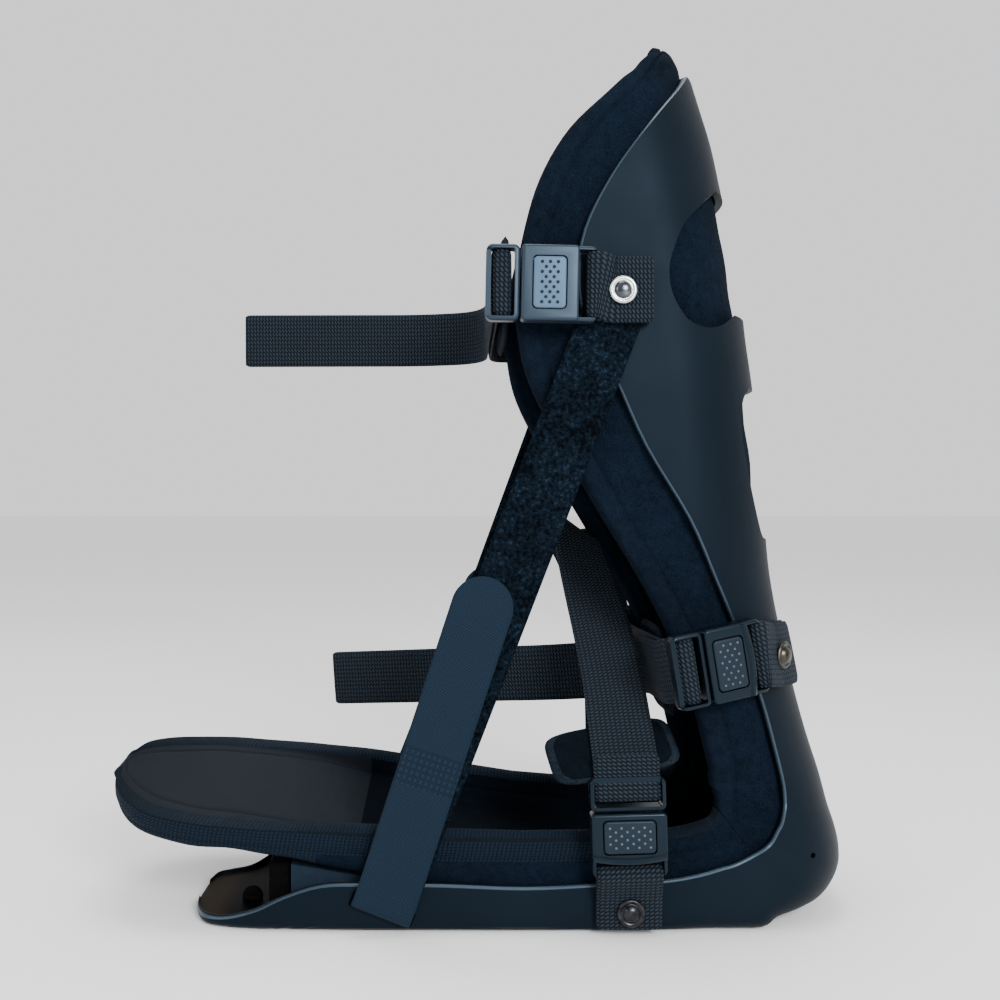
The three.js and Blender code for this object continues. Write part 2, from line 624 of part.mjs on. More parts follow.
for (const [name, { at, u, size, turn }] of Object.entries(BUCKLES)) {
  const m = placement(at, u.applyAxisAngle(up, turn), nearOut.clone().applyAxisAngle(up, turn));
  BUCKLES[name].m = m;
  add(name + "_buckle_body", geometryFrom(buckleBody(size)).applyMatrix4(m), bucklePlastic);
  add(name + "_buckle_button", geometryFrom(buckleButton(size)).applyMatrix4(m), buttonPlastic);
  add(name + "_buckle_frame", geometryFrom(buckleFrame()).applyMatrix4(m), bucklePlastic);
}

// Webbing straps: tail, over and under the frame's bar, then across to the far rivet.
function threadedStrap(m, tail, rest, widthDir, way) {
  const local = [...threaded[way + "Over"], ...turn, ...threaded[way + "Under"]];
  const points = [...tail, ...local.map(([u, n]) => toWorld(m, u, n)), ...rest];
  return band(points, STRAP_WIDTH, widthDir, WEBBING);
}

const blend = (a, b, t) => a.clone().lerp(b, t).normalize();
const localAcross = (m) => new THREE.Vector3(0, 1, 0).transformDirection(m);

// Calf strap: crosses in front of the shin and is riveted on the far wall; its tail stays on the
// far side and points forwards.
const V = (x, y, z) => new THREE.Vector3(x * REACH, y * HALF_WIDTH, z * HEIGHT);
{
  const m = BUCKLES.calf.m;
  const crossing = (f, y, z) => {
    return new THREE.Vector3(calfCross + f * FRAME_LENGTH, y * HALF_WIDTH, z * HEIGHT);
  };
  const tail = rounded(
    [
      V(-0.776, 1.08, 0.709),
      V(-0.2, 1.1, 0.71),
      crossing(-0.1385, 0.95, 0.711),
      crossing(-0.1385, -0.85, 0.7245),
      toWorld(m, TURN_IN + 1.8, -4),
    ],
    [0, 20, 16, 3, 0],
  ).slice(0, -1);
  const rest = rounded(
    [
      toWorld(m, TURN_IN, -3.5),
      crossing(0, -0.82, 0.7245),
      crossing(0, 0.9, 0.716),
      V(0.03, 1.125, 0.716),
      V(0.2, 1.125, 0.716),
      V(0.44, 1.125, 0.716),
    ],
    [0, 3, 14, 10, 10, 0],
  ).slice(1);
  const a = localAcross(m);
  const sign = a.z < 0 ? -1 : 1;
  add("calf_strap", threadedStrap(m, tail, rest, () => up.clone().multiplyScalar(sign), "in"), webbingCloth);
}

// Ankle strap: crosses behind the instep strap; its tail runs away towards the far side.
{
  const m = BUCKLES.ankle.m;
  const a = localAcross(m);
  const sign = a.z < 0 ? -1 : 1;
  const crossing = (f, y, z) => {
    return new THREE.Vector3(ankleCross + f * FRAME_LENGTH, y * HALF_WIDTH, z * HEIGHT);
  };
  const tailEnds = [
    V(-0.49, 1.12, 0.235),
    V(0.2, 0.42, 0.259),
    V(0.36, 0.22, 0.268),
    crossing(-0.155, 0, 0.28),
    crossing(-0.155, -0.74, 0.286),
    crossing(-0.155, -0.88, 0.289),
    toWorld(m, TURN_IN + 1.8, -3.6),
  ];
  const tail = rounded(tailEnds, [0, 25, 10, 8, 0, 2, 0]).slice(0, -1);
  const wall = [1.0, 0.9, 0.8, 0.7, 0.6, 0.48, 0.39, 0.3, 0.21, 0.135];
  const rest = rounded(
    [
      toWorld(m, TURN_IN, -3.4),
      crossing(0, -0.88, 0.289),
      crossing(0, -0.74, 0.289),
      crossing(-0.25, 0.86, 0.287),
      crossing(-0.1, 1.03, 0.298),
      wallPoint(ANKLE_RIVET_Z, wall[0] * HALF_WIDTH, 1.3, 1),
    ],
    [0, 2, 0, 8, 4, 0],
  ).slice(1, -1);
  rest.push(...wall.map((k) => wallPoint(ANKLE_RIVET_Z, k * HALF_WIDTH, 1.3, 1)));
  const inTail = tail.length;
  const local = threaded.inOver.length + turn.length + threaded.inUnder.length;
  const across = a.clone().multiplyScalar(sign);
  const slope = wallPoint(ANKLE_RIVET_Z + 10, ankleRivetQ, 0, 1);
  slope.sub(wallPoint(ANKLE_RIVET_Z - 10, ankleRivetQ, 0, 1)).normalize();
  const widthDir = (i, p) => {
    const onTail = (ankleCross - 0.3 * FRAME_LENGTH - p.x) / FRAME_LENGTH;
    if (i < inTail) return blend(across, up, Math.min(1, Math.max(0, onTail))).multiplyScalar(sign);
    if (i < inTail + local) return across.clone().multiplyScalar(sign);
    const t = (i - inTail - local - rest.length) / wall.length + 1;
    const far = Math.min(1, Math.max(0, (p.y / HALF_WIDTH - 0.52) / 0.3));
    if (t < 0) return blend(across, up, far).multiplyScalar(sign);
    return blend(up, slope, Math.min(1, t * 3)).multiplyScalar(sign);
  };
  add("ankle_strap", threadedStrap(m, tail, rest, widthDir, "in"), webbingCloth);
}

// Instep strap: up from the frame, over the instep and down the far side.
{
  const m = BUCKLES.instep.m;
  const a = localAcross(m);
  const tail = [toWorld(m, FRAME_LENGTH + 8, 3.4), toWorld(m, FRAME_LENGTH + 5, 3.5)];
  const rest = rounded(
    [
      toWorld(m, FRAME_LENGTH + 2.6, 1.45),
      V(0.336, -1.05, 0.195),
      V(0.33, -0.35, 0.295),
      V(0.263, 0.6, 0.435),
      V(0.238, 1.02, 0.433),
      V(0.335, 1.13, 0.392),
      V(0.4, 1.135, 0.305),
      V(0.41, 1.13, 0.1),
      V(0.41, 1.13, 0.01),
    ],
    [0, 12, 30, 12, 8, 14, 20, 20, 0],
  ).slice(1);
  const top = new THREE.Vector3(-0.8, 0, 0.6);
  const onEdge = (p) => {
    const over = Math.min(1, Math.max(0, (p.y / HALF_WIDTH + 0.2) / 0.8));
    const down = Math.min(1, Math.max(0, (0.4 - p.z / HEIGHT) / 0.09));
    return p.y > 0.9 * HALF_WIDTH ? 1 - down : over;
  };
  const widthDir = (i, p) => blend(a, top, p.y < -0.4 * HALF_WIDTH ? 0 : onEdge(p));
  add("instep_strap", threadedStrap(m, tail, rest, widthDir, "up"), webbingCloth);
}

// Anchors: two layers of webbing folded round the bar of the buckle body and riveted to the shell.
function anchorBand({ m, size }, restOver, restUnder, widthDir) {
  const bar = -size.body - size.arm + BAR / 2;
  const fold = [
    [bar - 2, 5.3],
    [bar, 5.4],
    [bar + 1.6, 5.1],
    [bar + 2.4, 3.9],
    [bar + 2.4, 2.2],
    [bar + 1.6, 1],
    [bar, 0.65],
    [bar - 2, 0.35],
  ].map(([u, n]) => toWorld(m, u, n));
  const points = [...restOver, ...fold, ...restUnder];
  const first = restOver.length;
  const last = first + fold.length - 1;
  const far = (i) => Math.max(first - 1 - i, i - last - 1, 0);
  const a = localAcross(m);
  const b = widthDir ? widthDir.clone().multiplyScalar(Math.sign(widthDir.dot(a))) : a;
  return band(points, STRAP_WIDTH, (i) => blend(a, b, Math.min(1, far(i) / 3)), WEBBING);
}
{
  const m = BUCKLES.calf;
  const o = (r, n) => {
    return new THREE.Vector3(CALF_RIVET[0] + r * RIVET_RADIUS, -HALF_WIDTH - n, 0.7175 * HEIGHT);
  };
  add(
    "calf_anchor",
    anchorBand(
      m,
      [o(2.19, 5.0), o(1.22, 5.0), o(-0.722, 5.1)],
      [o(-0.722, 3.1), o(1.22, 3.1), o(2.19, 3.1)],
    ),
    webbingCloth,
  );
}

{
  const m = BUCKLES.ankle;
  const z = ANKLE_RIVET_Z;
  const shares = [-1.22, -0.806, -0.389, 0.028, 0.389];
  const over = shares.map((k) => wallPoint(z, ankleRivetQ + k * RIVET_RADIUS, 3.7, -1));
  const under = shares.reverse().map((k) => wallPoint(z, ankleRivetQ + k * RIVET_RADIUS, 1.5, -1));
  const slope = wallPoint(z + 10, ankleRivetQ, 0, -1).sub(wallPoint(z - 10, ankleRivetQ, 0, -1)).normalize();
  add("ankle_anchor", anchorBand(m, over, under, slope), webbingCloth);
}
{
  const m = BUCKLES.instep;
  const o = (z, n) => new THREE.Vector3(0.345 * REACH, -HALF_WIDTH - n, z * HEIGHT);
  add(
    "instep_anchor",
    anchorBand(
      m,
      [o(0.008, 3.4), o(0.03, 3.4), o(0.045, 4.2)],
      [o(0.045, 2.2), o(0.03, 1.5), o(0.008, 1.5)],
    ),
    webbingCloth,
  );
}

// Strap pads: soft blocks on the inner side of each strap where it crosses.
function padBlock(thick, span, width) {
  const s = new THREE.Shape();
  const [a, b, r] = [thick / 2, width / 2, thick * 0.45];
  s.moveTo(-a + r, -b);
  s.lineTo(a - r, -b);
  s.quadraticCurveTo(a, -b, a, -b + r);
  s.lineTo(a, b - r);
  s.quadraticCurveTo(a, b, a - r, b);
  s.lineTo(-a + r, b);
  s.quadraticCurveTo(-a, b, -a, b - r);
  s.lineTo(-a, -b + r);
  s.quadraticCurveTo(-a, -b, -a + r, -b);
  const g = new THREE.ExtrudeGeometry(s, { depth: span, bevelEnabled: false, curveSegments: 4 });
  g.translate(0, 0, -span / 2);
  g.rotateX(Math.PI / 2);
  return g;
}
const calfPad = padBlock(PAD_THICK, 1.36 * HALF_WIDTH, 0.13 * HEIGHT);
calfPad.translate(calfCross + WEBBING / 2 + GAP + PAD_THICK / 2, 0, 0.737 * HEIGHT);
add("calf_pad", calfPad, linerCloth);
const anklePad = padBlock(PAD_THICK, 0.96 * HALF_WIDTH, 0.115 * HEIGHT);
anklePad.rotateY(Math.atan2(-0.17, 0.985));
anklePad.translate(ankleCross + WEBBING / 2 + 1.5 * GAP + PAD_THICK / 2, 0, 0.277 * HEIGHT);
add("ankle_pad", anklePad, linerCloth);
const instepPad = padBlock(PAD_THICK, 0.07 * HEIGHT, 1.04 * HALF_WIDTH);
instepPad.rotateY(Math.PI / 2);
const instepRise = Math.atan2(0.1 * HEIGHT, 0.7 * HALF_WIDTH);
instepPad.rotateX(instepRise);
const padDrop = WEBBING / 2 + 0.7 + PAD_THICK / 2;
instepPad.translate(
  0.31 * REACH,
  -0.85 * HALF_WIDTH + padDrop * Math.sin(instepRise),
  0.2235 * HEIGHT - padDrop * Math.cos(instepRise),
);
add("instep_pad", instepPad, linerCloth);

// Rivets: low domes on the webbing
function rivet(at, out) {
  const profile = [
    [0, 0],
    [RIVET_RADIUS, 0],
    [RIVET_RADIUS, 0.3 * RIVET_HEIGHT],
    [0.78 * RIVET_RADIUS, 0.46 * RIVET_HEIGHT],
    [0.66 * RIVET_RADIUS, 0.4 * RIVET_HEIGHT],
    [0.5 * RIVET_RADIUS, 0.86 * RIVET_HEIGHT],
    [0, RIVET_HEIGHT],
  ].map(([r, h]) => new THREE.Vector2(r, h));
  const g = new THREE.LatheGeometry(profile, 20);
  const turn = new THREE.Quaternion().setFromUnitVectors(new THREE.Vector3(0, 1, 0), out);
  g.applyQuaternion(turn);
  g.translate(at.x, at.y, at.z);
  return g;
}
const farOut = new THREE.Vector3(0, 1, 0);
const on = (x, n, z, side) => new THREE.Vector3(x, side * (HALF_WIDTH + n), z);
const anchorTop = 5.5 + WEBBING / 2 + GAP;
add("calf_rivet_near", rivet(on(CALF_RIVET[0], anchorTop, CALF_RIVET[1], -1), nearOut), chrome);
const calfFar = on(CALF_RIVET[0], 0.125 * HALF_WIDTH + 0.75 + GAP, CALF_RIVET[1], 1);
add("calf_rivet_far", rivet(calfFar, farOut), chrome);
const footRivet = [0.348 * REACH, 0.0275 * HEIGHT];
const footRivetFar = 0.41 * REACH;
const footNear = on(footRivet[0], 3.9 + WEBBING / 2 + GAP, footRivet[1], -1);
const footFar = on(footRivetFar, 0.13 * HALF_WIDTH + 0.75 + GAP, footRivet[1], 1);
add("foot_rivet_near", rivet(footNear, nearOut), darkChrome);
add("foot_rivet_far", rivet(footFar, farOut), darkChrome);
for (const side of [-1, 1]) {
  const lift = (side < 0 ? 3.9 : 1.4) + WEBBING / 2 + 2 * GAP;
  const q = ankleRivetQ;
  const p = wallPoint(ANKLE_RIVET_Z, q, lift, side);
  const a = wallPoint(ANKLE_RIVET_Z, q - 1, lift, side);
  const b = wallPoint(ANKLE_RIVET_Z, q + 1, lift, side);
  const t = b.sub(a).normalize();
  const out = new THREE.Vector3(-t.y, t.x, 0);
  if (out.y * side < 0) out.negate();
  add(side < 0 ? "ankle_rivet_near" : "ankle_rivet_far", rivet(p, out), bronze);
}

export default splint;
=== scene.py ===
import math

import bmesh
import bpy
import numpy as np
from mathutils import Matrix, Vector

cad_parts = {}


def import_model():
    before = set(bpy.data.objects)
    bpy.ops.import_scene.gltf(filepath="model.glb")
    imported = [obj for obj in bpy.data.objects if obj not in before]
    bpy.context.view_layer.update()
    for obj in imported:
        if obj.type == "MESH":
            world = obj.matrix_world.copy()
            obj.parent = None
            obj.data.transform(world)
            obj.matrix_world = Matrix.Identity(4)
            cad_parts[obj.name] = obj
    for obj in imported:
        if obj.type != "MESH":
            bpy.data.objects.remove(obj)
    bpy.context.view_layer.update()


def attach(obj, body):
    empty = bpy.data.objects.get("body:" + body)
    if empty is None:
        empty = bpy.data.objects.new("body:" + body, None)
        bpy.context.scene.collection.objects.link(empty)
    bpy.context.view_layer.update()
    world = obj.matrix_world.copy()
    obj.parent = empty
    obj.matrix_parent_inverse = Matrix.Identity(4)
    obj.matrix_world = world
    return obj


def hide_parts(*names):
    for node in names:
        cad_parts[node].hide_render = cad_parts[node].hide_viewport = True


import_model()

# Sizes, in millimetres
MM = 0.001
WALL = 3.0
LINER = 8.5
WEBBING = 1.5
STRAP = 25.0
RIVET = 5.4  # radius of a rivet's head


# Materials

class Look:
    """A material whose nodes are added one by one."""

    def __init__(self, name):
        self.material = bpy.data.materials.new(name)
        self.material.use_nodes = True
        self.tree = self.material.node_tree
        self.shader = self.tree.nodes["Principled BSDF"].inputs

    def feed(self, socket, value):
        if isinstance(value, bpy.types.NodeSocket):
            self.tree.links.new(value, socket)
        else:
            socket.default_value = value

    def set(self, **inputs):
        for key, value in inputs.items():
            self.feed(self.shader[key.replace("_", " ")], value)

    def node(self, kind, **inputs):
        n = self.tree.nodes.new("ShaderNode" + kind)
        for key, value in inputs.items():
            self.feed(n.inputs[key], value)
        return n

    def coords(self):
        return self.node("TexCoord").outputs["Object"]

    def noise(self, vector, scale, detail=3, rough=0.55):
        n = self.node("TexNoise", Vector=vector, Scale=scale, Detail=detail, Roughness=rough)
        return n.outputs["Fac"]

    def maths(self, op, *values):
        n = self.node("Math")
        n.operation = op
        for socket, value in zip(n.inputs, values):
            self.feed(socket, value)
        return n.outputs[0]

    def times(self, a, b):
        return self.maths("MULTIPLY", a, b)

    def times_plus(self, a, b, c):
        return self.maths("MULTIPLY_ADD", a, b, c)

    def over(self, a, b):
        return self.maths("GREATER_THAN", a, b)

    def wave(self, a):
        return self.maths("SINE", a)

    def colour(self, value, *stops):
        """Colours the surface by a value. Stops: value and colour in ten-thousandths."""
        n = self.node("ValToRGB")
        while len(n.color_ramp.elements) < len(stops):
            n.color_ramp.elements.new(0.5)
        for e, (p, colour) in zip(n.color_ramp.elements, stops):
            e.position = p
            e.color = (*(c / 10000 for c in colour), 1)
        self.feed(n.inputs[0], value)
        self.set(Base_Color=n.outputs[0])

    def bump(self, height, strength, distance):
        n = self.node("Bump", Strength=strength, Distance=distance, Height=height)
        self.set(Normal=n.outputs[0])


def plastic(name, dark, light, rough, grain, grain_scale, spec, painted_shade_x=None):
    """Moulded plastic. Between the two x of its last argument its light tone goes out into painted shade."""
    look = Look(name)
    co = look.coords()
    big = look.noise(co, 14, 2)
    fine = look.noise(co, grain_scale, 2, 0.6)
    mixed = look.times_plus(fine, 0.25, look.times(big, 0.75))
    low, high = 0.3, 0.7
    # Painted shade: past the two x the light tone gives way to the dark one.
    if painted_shade_x:
        a, b = painted_shade_x
        x = look.node("SeparateXYZ", Vector=co).outputs[0]
        t = look.maths("MINIMUM", look.times_plus(x, 1 / (a - b), b / (b - a)), 1)
        mixed = look.times(mixed, look.maths("MAXIMUM", t, 0.2))
        low, high = 0.14, 0.4
    look.colour(mixed, (low, dark), (high, light))
    look.set(Roughness=look.times_plus(look.noise(co, 60, 4), rough[1] - rough[0], rough[0]),
             Specular_IOR_Level=spec, Specular_Tint=(0.55, 0.78, 1.0, 1))
    look.bump(fine, grain, 0.00012)
    return look.material


def nap(name, dark, light, scale, strength, speck=0.0, tones=(0.36, 0.62)):
    """Napped cloth: short fibres as fine noise. Speck: how much lighter single fibres are."""
    look = Look(name)
    co = look.coords()
    fine = look.noise(co, scale, 5, 0.7)
    mid = look.noise(co, 260, 4, 0.6)
    big = look.noise(co, 30, 2)
    t = look.times_plus(big, 0.18, look.times_plus(fine, 0.62, look.times(mid, 0.2)))
    stops = [(tones[0], dark), (tones[1], light)]
    if speck:
        stops.append((tones[1] + 0.05, [c * (1 + speck) for c in light]))
    look.colour(t, *stops)
    look.set(Roughness=0.95, Specular_IOR_Level=0.04)
    look.bump(look.times_plus(fine, 0.6, look.times(mid, 0.5)), strength, 0.0004)
    return look.material


def weave(name, dark, light, pitch_u, pitch_v, slant, strength, depth, spec, tones=(0.12, 0.85), seam=None):
    """Woven cloth in the flat coordinates of its band: u across, v along, both in metres."""
    look = Look(name)
    flat = look.node("UVMap")
    flat.uv_map = "flat"
    flat = flat.outputs[0]
    split = look.node("SeparateXYZ", Vector=flat).outputs
    u, v = split[0], split[1]
    wobble = look.noise(flat, 350, 2)
    a = look.times(u, math.pi / pitch_u)
    b = look.times_plus(u, slant * math.pi / pitch_v, look.times(v, math.pi / pitch_v))
    b = look.times_plus(wobble, 0.9, b)
    row = look.maths("FLOOR", look.maths("DIVIDE", a, math.pi))
    b = look.maths("ADD", b, look.times(row, math.pi / 2))
    rib = look.maths("ABSOLUTE", look.wave(a))
    pick = look.maths("ABSOLUTE", look.wave(b))
    height = look.times(look.maths("POWER", rib, 0.35), look.maths("POWER", pick, 1.1))
    fibre = look.noise(flat, 5200, 3, 0.7)
    tone = look.times_plus(fibre, 0.35, look.times(height, 0.75))
    if seam:
        zone = look.times(look.over(v, seam[0]), look.maths("LESS_THAN", v, seam[1]))
        side = look.over(look.wave(look.times(u, math.pi / 0.0011)), 0.1)
        rows = look.over(look.wave(look.times(v, math.pi / 0.0013)), -0.1)
        dots = look.times(zone, look.times(side, rows))
        tone = look.times_plus(dots, 0.55, look.times_plus(zone, -0.22, tone))
    look.colour(tone, (tones[0], dark), (tones[1], light))
    look.set(Roughness=0.72, Specular_IOR_Level=spec, Sheen_Weight=0.02, Sheen_Tint=(0.5, 0.6, 0.75, 1))
    look.bump(look.times_plus(fibre, 0.12, height), strength, depth)
    return look.material


def metal(name, dark, light, rough):
    look = Look(name)
    n = look.noise(look.coords(), 300, 4)
    look.colour(n, (0.35, dark), (0.65, light))
    look.set(Metallic=1, Roughness=look.times_plus(n, 0.12, rough))
    return look.material


SHELL_MAT = plastic("shell_black", (22, 42, 72), (42, 74, 118), (0.42, 0.54), 0.35, 2200, spec=0.07)
# Inside of the shell's toe: its brown light tone is painted warm light, and from x = -0.112 m to -0.100 m it
# goes out into painted shade.
SHELL_IN_PAINTED_LIGHT = plastic("shell_inside_painted_light", (10, 8, 7), (170, 115, 50), (0.5, 0.62), 0.3, 2200, spec=0.04,
                   painted_shade_x=(-0.112, -0.100))
# Painted highlight: the rim faces get a much lighter, shinier tone for the light caught along the rim.
SHELL_RIM_HIGHLIGHT = plastic("shell_rim_painted_highlight", (120, 190, 280), (220, 330, 460), (0.30, 0.40), 0.2, 2200, spec=0.5)
LINER_MAT = nap("liner_velour", (8, 21, 45), (36, 80, 160), 1900, 0.7, 0.25, (0.40, 0.60))
# Painted shade: a darker copy of the liner cloth for the inner faces, which lie in shade.
LINER_IN_SHADE = nap("liner_inside_painted_shade", (6, 13, 26), (28, 50, 85), 1900, 0.6)
BINDING = nap("binding_cloth", (10, 24, 50), (42, 85, 165), 2300, 0.7, 0.25, (0.40, 0.60))
FOOT_BINDING = weave("foot_binding", (8, 24, 50), (60, 125, 230), 0.0012, 0.0017, 0.9, 1.0, 0.0005, 0.05)
FOOTBED = weave("footbed_twill", (32, 46, 72), (85, 112, 160), 0.0010, 0.0010, 1.0, 0.5, 0.0003, 0.05)
FOAM = nap("wedge_grey", (60, 110, 180), (140, 240, 380), 2600, 0.35)
HOOK = nap("hook_black", (10, 8, 8), (36, 30, 30), 1500, 0.9, 1.0)
LOOP = nap("loop_pile", (1, 6, 14), (28, 64, 115), 620, 1.0, 1.6, (0.43, 0.57))
SEAM = (0.323, 0.338)  # where the return run is sewn down, along the strap
TWILL = weave("return_twill", (20, 62, 125), (68, 165, 310), 0.00085, 0.0010, 0.9, 0.6, 0.0003, 0.08,
              seam=SEAM)
WEB = weave("webbing_weave", (2, 6, 12), (135, 225, 340), 0.0019, 0.0015, 0.4, 1.0, 0.0006, 0.10,
            (0.28, 0.88))
BUCKLE = plastic("buckle_black", (12, 30, 55), (28, 56, 90), (0.24, 0.34), 0.12, 3000, spec=0.22)
BUCKLE_LIT = plastic("buckle_calf", (85, 130, 210), (150, 215, 325), (0.30, 0.42), 0.15, 3000, spec=0.3)
BUTTON = plastic("button_black", (36, 58, 90), (70, 105, 150), (0.34, 0.46), 0.2, 3000, spec=0.25)
BUTTON_LIT = plastic("button_calf", (420, 760, 1250), (640, 1080, 1650), (0.36, 0.48), 0.2, 3000, spec=0.25)
DOTS = plastic("button_dots", (40, 75, 130), (90, 150, 240), (0.30, 0.40), 0.1, 3000, spec=0.2)
# Painted highlight: the knobs on the dark buttons are pale for the light they catch.
DOTS_HIGHLIGHT = plastic("button_dots_painted_highlight", (300, 450, 650), (600, 850, 1150), (0.30, 0.40), 0.1, 3000, spec=0.4)
CHROME = metal("rivet_chrome", (3200, 3300, 3300), (6600, 6700, 6700), 0.18)
# Painted reflection: the domes share the rings' plating; their darker tone stands for the dark surroundings they
# reflect.
DOME_DARK_REFLECTION = metal("rivet_dome_painted_reflection", (450, 500, 600), (1400, 1500, 1700), 0.2)
DARK_CHROME = metal("rivet_dark", (120, 130, 160), (450, 470, 520), 0.26)
BRONZE = metal("rivet_bronze", (220, 220, 180), (850, 820, 680), 0.28)
# Painted highlight: the lighter cloth round the pads' edges stands for the light caught on their rounded rims.
PAD_EDGE_HIGHLIGHT = nap("pad_edge_painted_highlight", (24, 44, 75), (110, 165, 240), 1200, 0.6)
PAD = nap("pad_cloth", (6, 12, 24), (30, 54, 90), 1700, 0.6)


# Mesh helpers. Every length is in millimetres.

def close_up(me, merge=None):
    bm = bmesh.new()
    bm.from_mesh(me)
    if merge:
        bmesh.ops.remove_doubles(bm, verts=bm.verts, dist=merge)
    bmesh.ops.recalc_face_normals(bm, faces=bm.faces)
    bm.to_mesh(me)
    bm.free()


def make(name, verts, faces, mats, face_mats=None, uvs=None, smooth=True):
    me = bpy.data.meshes.new(name)
    me.from_pydata([tuple(float(c) * MM for c in v) for v in verts], [], [tuple(f) for f in faces])
    for m in mats:
        me.materials.append(m)
    if face_mats is not None:
        me.polygons.foreach_set("material_index", list(face_mats))
    me.polygons.foreach_set("use_smooth", [smooth] * len(me.polygons))
    if uvs is not None:
        layer = me.uv_layers.new(name="flat")
        index = np.empty(len(me.loops), dtype=np.int32)
        me.loops.foreach_get("vertex_index", index)
        flat = (np.array(uvs, dtype=np.float64)[index] * MM).astype(np.float32)
        layer.data.foreach_set("uv", flat.ravel())
    me.update()
    o = bpy.data.objects.new(name, me)
    bpy.context.scene.collection.objects.link(o)
    close_up(me)
    return o


def modify(o, kind, **values):
    m = o.modifiers.new(kind.lower(), kind)
    for k, v in values.items():
        setattr(m, k, v)
    with bpy.context.temp_override(object=o, active_object=o, selected_objects=[o]):
        bpy.ops.object.modifier_apply(modifier=m.name)


def combine(o, other, mode="DIFFERENCE"):
    modify(o, "BOOLEAN", operation=mode, object=other, solver="EXACT")
    bpy.data.objects.remove(other, do_unlink=True)


def shade_by_angle(o, degrees=35):
    with bpy.context.temp_override(object=o, active_object=o, selected_objects=[o],
                                   selected_editable_objects=[o]):
        bpy.ops.object.shade_smooth_by_angle(angle=math.radians(degrees))


def prism(name, outline, y0, y1, mat):
    n = len(outline)
    verts = [(x, y0, z) for x, z in outline] + [(x, y1, z) for x, z in outline]
    faces = [list(range(n)), list(range(2 * n - 1, n - 1, -1))]
    faces += [(i, (i + 1) % n, (i + 1) % n + n, i + n) for i in range(n)]
    return make(name, verts, faces, [mat])


def curve_through(points, per):
    """A smooth curve (Catmull-Rom) through points or rows of a table, `per` steps from each to the next."""
    p = np.array(points, dtype=float)
    p = np.vstack([2 * p[0] - p[1], p, 2 * p[-1] - p[-2]])
    out = []
    for i in range(1, len(p) - 2):
        a, b, c, d = p[i - 1], p[i], p[i + 1], p[i + 2]
        for k in range(per):
            t = k / per
            out.append(0.5 * (2 * b + (c - a) * t + (2 * a - 5 * b + 4 * c - d) * t**2
                              + (3 * b - a - 3 * c + d) * t**3))
    out.append(p[-2])
    return np.array(out)


# Cross-sections of shell and liner, toe to calf. Columns: base x, base z, rim x, rim z, reach of
# the liner's edge, half-width, corner across, corner along.
SHELL_ROWS = np.array([
    (-120.3, 0, -120.3, 3.3, 0, 12, 3.5, 3.5),
    (-118.4, 0, -118.4, 3.4, 0, 21, 3.5, 3.5),
    (-113.2, 0, -113.2, 3.8, 0, 27, 3.5, 3.5),
    (-103.5, 0, -103.5, 4.8, 0, 32, 3.5, 3.5),
    (-92, 0, -92, 8.3, 0, 44.5, 3.5, 3.5),
    (-81, 0, -81, 13.5, 0, 49, 3.5, 3.5),
    (-67, 0, -67, 17.9, 0, 49.5, 3.5, 3.5),
    (-50, 0, -50, 18.6, 36.9, 50, 3.5, 3.5),
    (-20, 0, -20, 18.3, 36.9, 50, 3.5, 3.5),
    (12, 0, 12, 17.2, 36.6, 50, 3.5, 3.5),
    (42, 0, 42, 18.6, 36.6, 50, 3.5, 3.5),
    (66, 0, 66, 20, 36.9, 50, 4, 4),
    (85.9, 0, 80, 22.4, 39.7, 50, 6, 6),
    (105, 0, 91, 25.5, 46.2, 50, 7, 7),
    (112.5, 2.2, 96, 27.3, 48.2, 49.5, 13, 11),
    (122.4, 3.2, 101, 29.7, 55.1, 49, 20, 17),
    (132.6, 5.4, 105, 32.1, 61.9, 49, 29, 24),
    (139.9, 10.0, 108, 34.8, 66.3, 48.5, 35, 30),
    (144.6, 16.7, 110, 38.6, 68.1, 48.5, 40, 34),
    (145.7, 24.2, 111.5, 41.4, 66.7, 48.5, 43, 36),
    (144.4, 32.1, 112.5, 45.5, 63.6, 48.5, 44, 37),
    (141.6, 41.1, 113.2, 50, 58.8, 48.5, 44, 38),
    (138.5, 54.2, 113, 56.9, 52.9, 48.5, 45, 39),
    (133.5, 70, 110.2, 70, 49.8, 48.5, 45, 40),
    (128.6, 88, 105, 88.7, 50.1, 49, 46, 41),
    (122.5, 113.9, 95.5, 114.9, 53.9, 49, 46, 42),
    (118.1, 137, 85.9, 137, 60.5, 49.5, 46, 42),
    (115.8, 160.1, 75.5, 160.1, 72.2, 50, 46, 42),
    (113.5, 188, 58.8, 188, 86, 50, 46, 42),
    (110.8, 213.9, 47, 213.9, 96.4, 50, 46, 42),
    (108, 233.9, 36, 233.9, 98.1, 50, 46, 42),
    (106, 251.8, 32.5, 251.8, 96.7, 50, 46, 42),
    (103.1, 271.9, 35, 271.9, 90.8, 50, 46, 42),
    (98, 293.9, 46, 293.9, 79.1, 50, 46, 42),
    (93.8, 313.9, 60.5, 313.9, 63.1, 49.5, 46, 42),
    (88.8, 330.9, 73.5, 330.9, 43, 49, 46, 42),
    (85, 344, 80.6, 342.6, 31.7, 48.5, 46, 42),
])
TONGUE_ROWS = np.array([
    (84.2, 348.2, 72, 345.7, 24.7, 47.5, 45, 42),
    (83, 352.4, 70, 349.2, 19.4, 45, 43, 41),
])
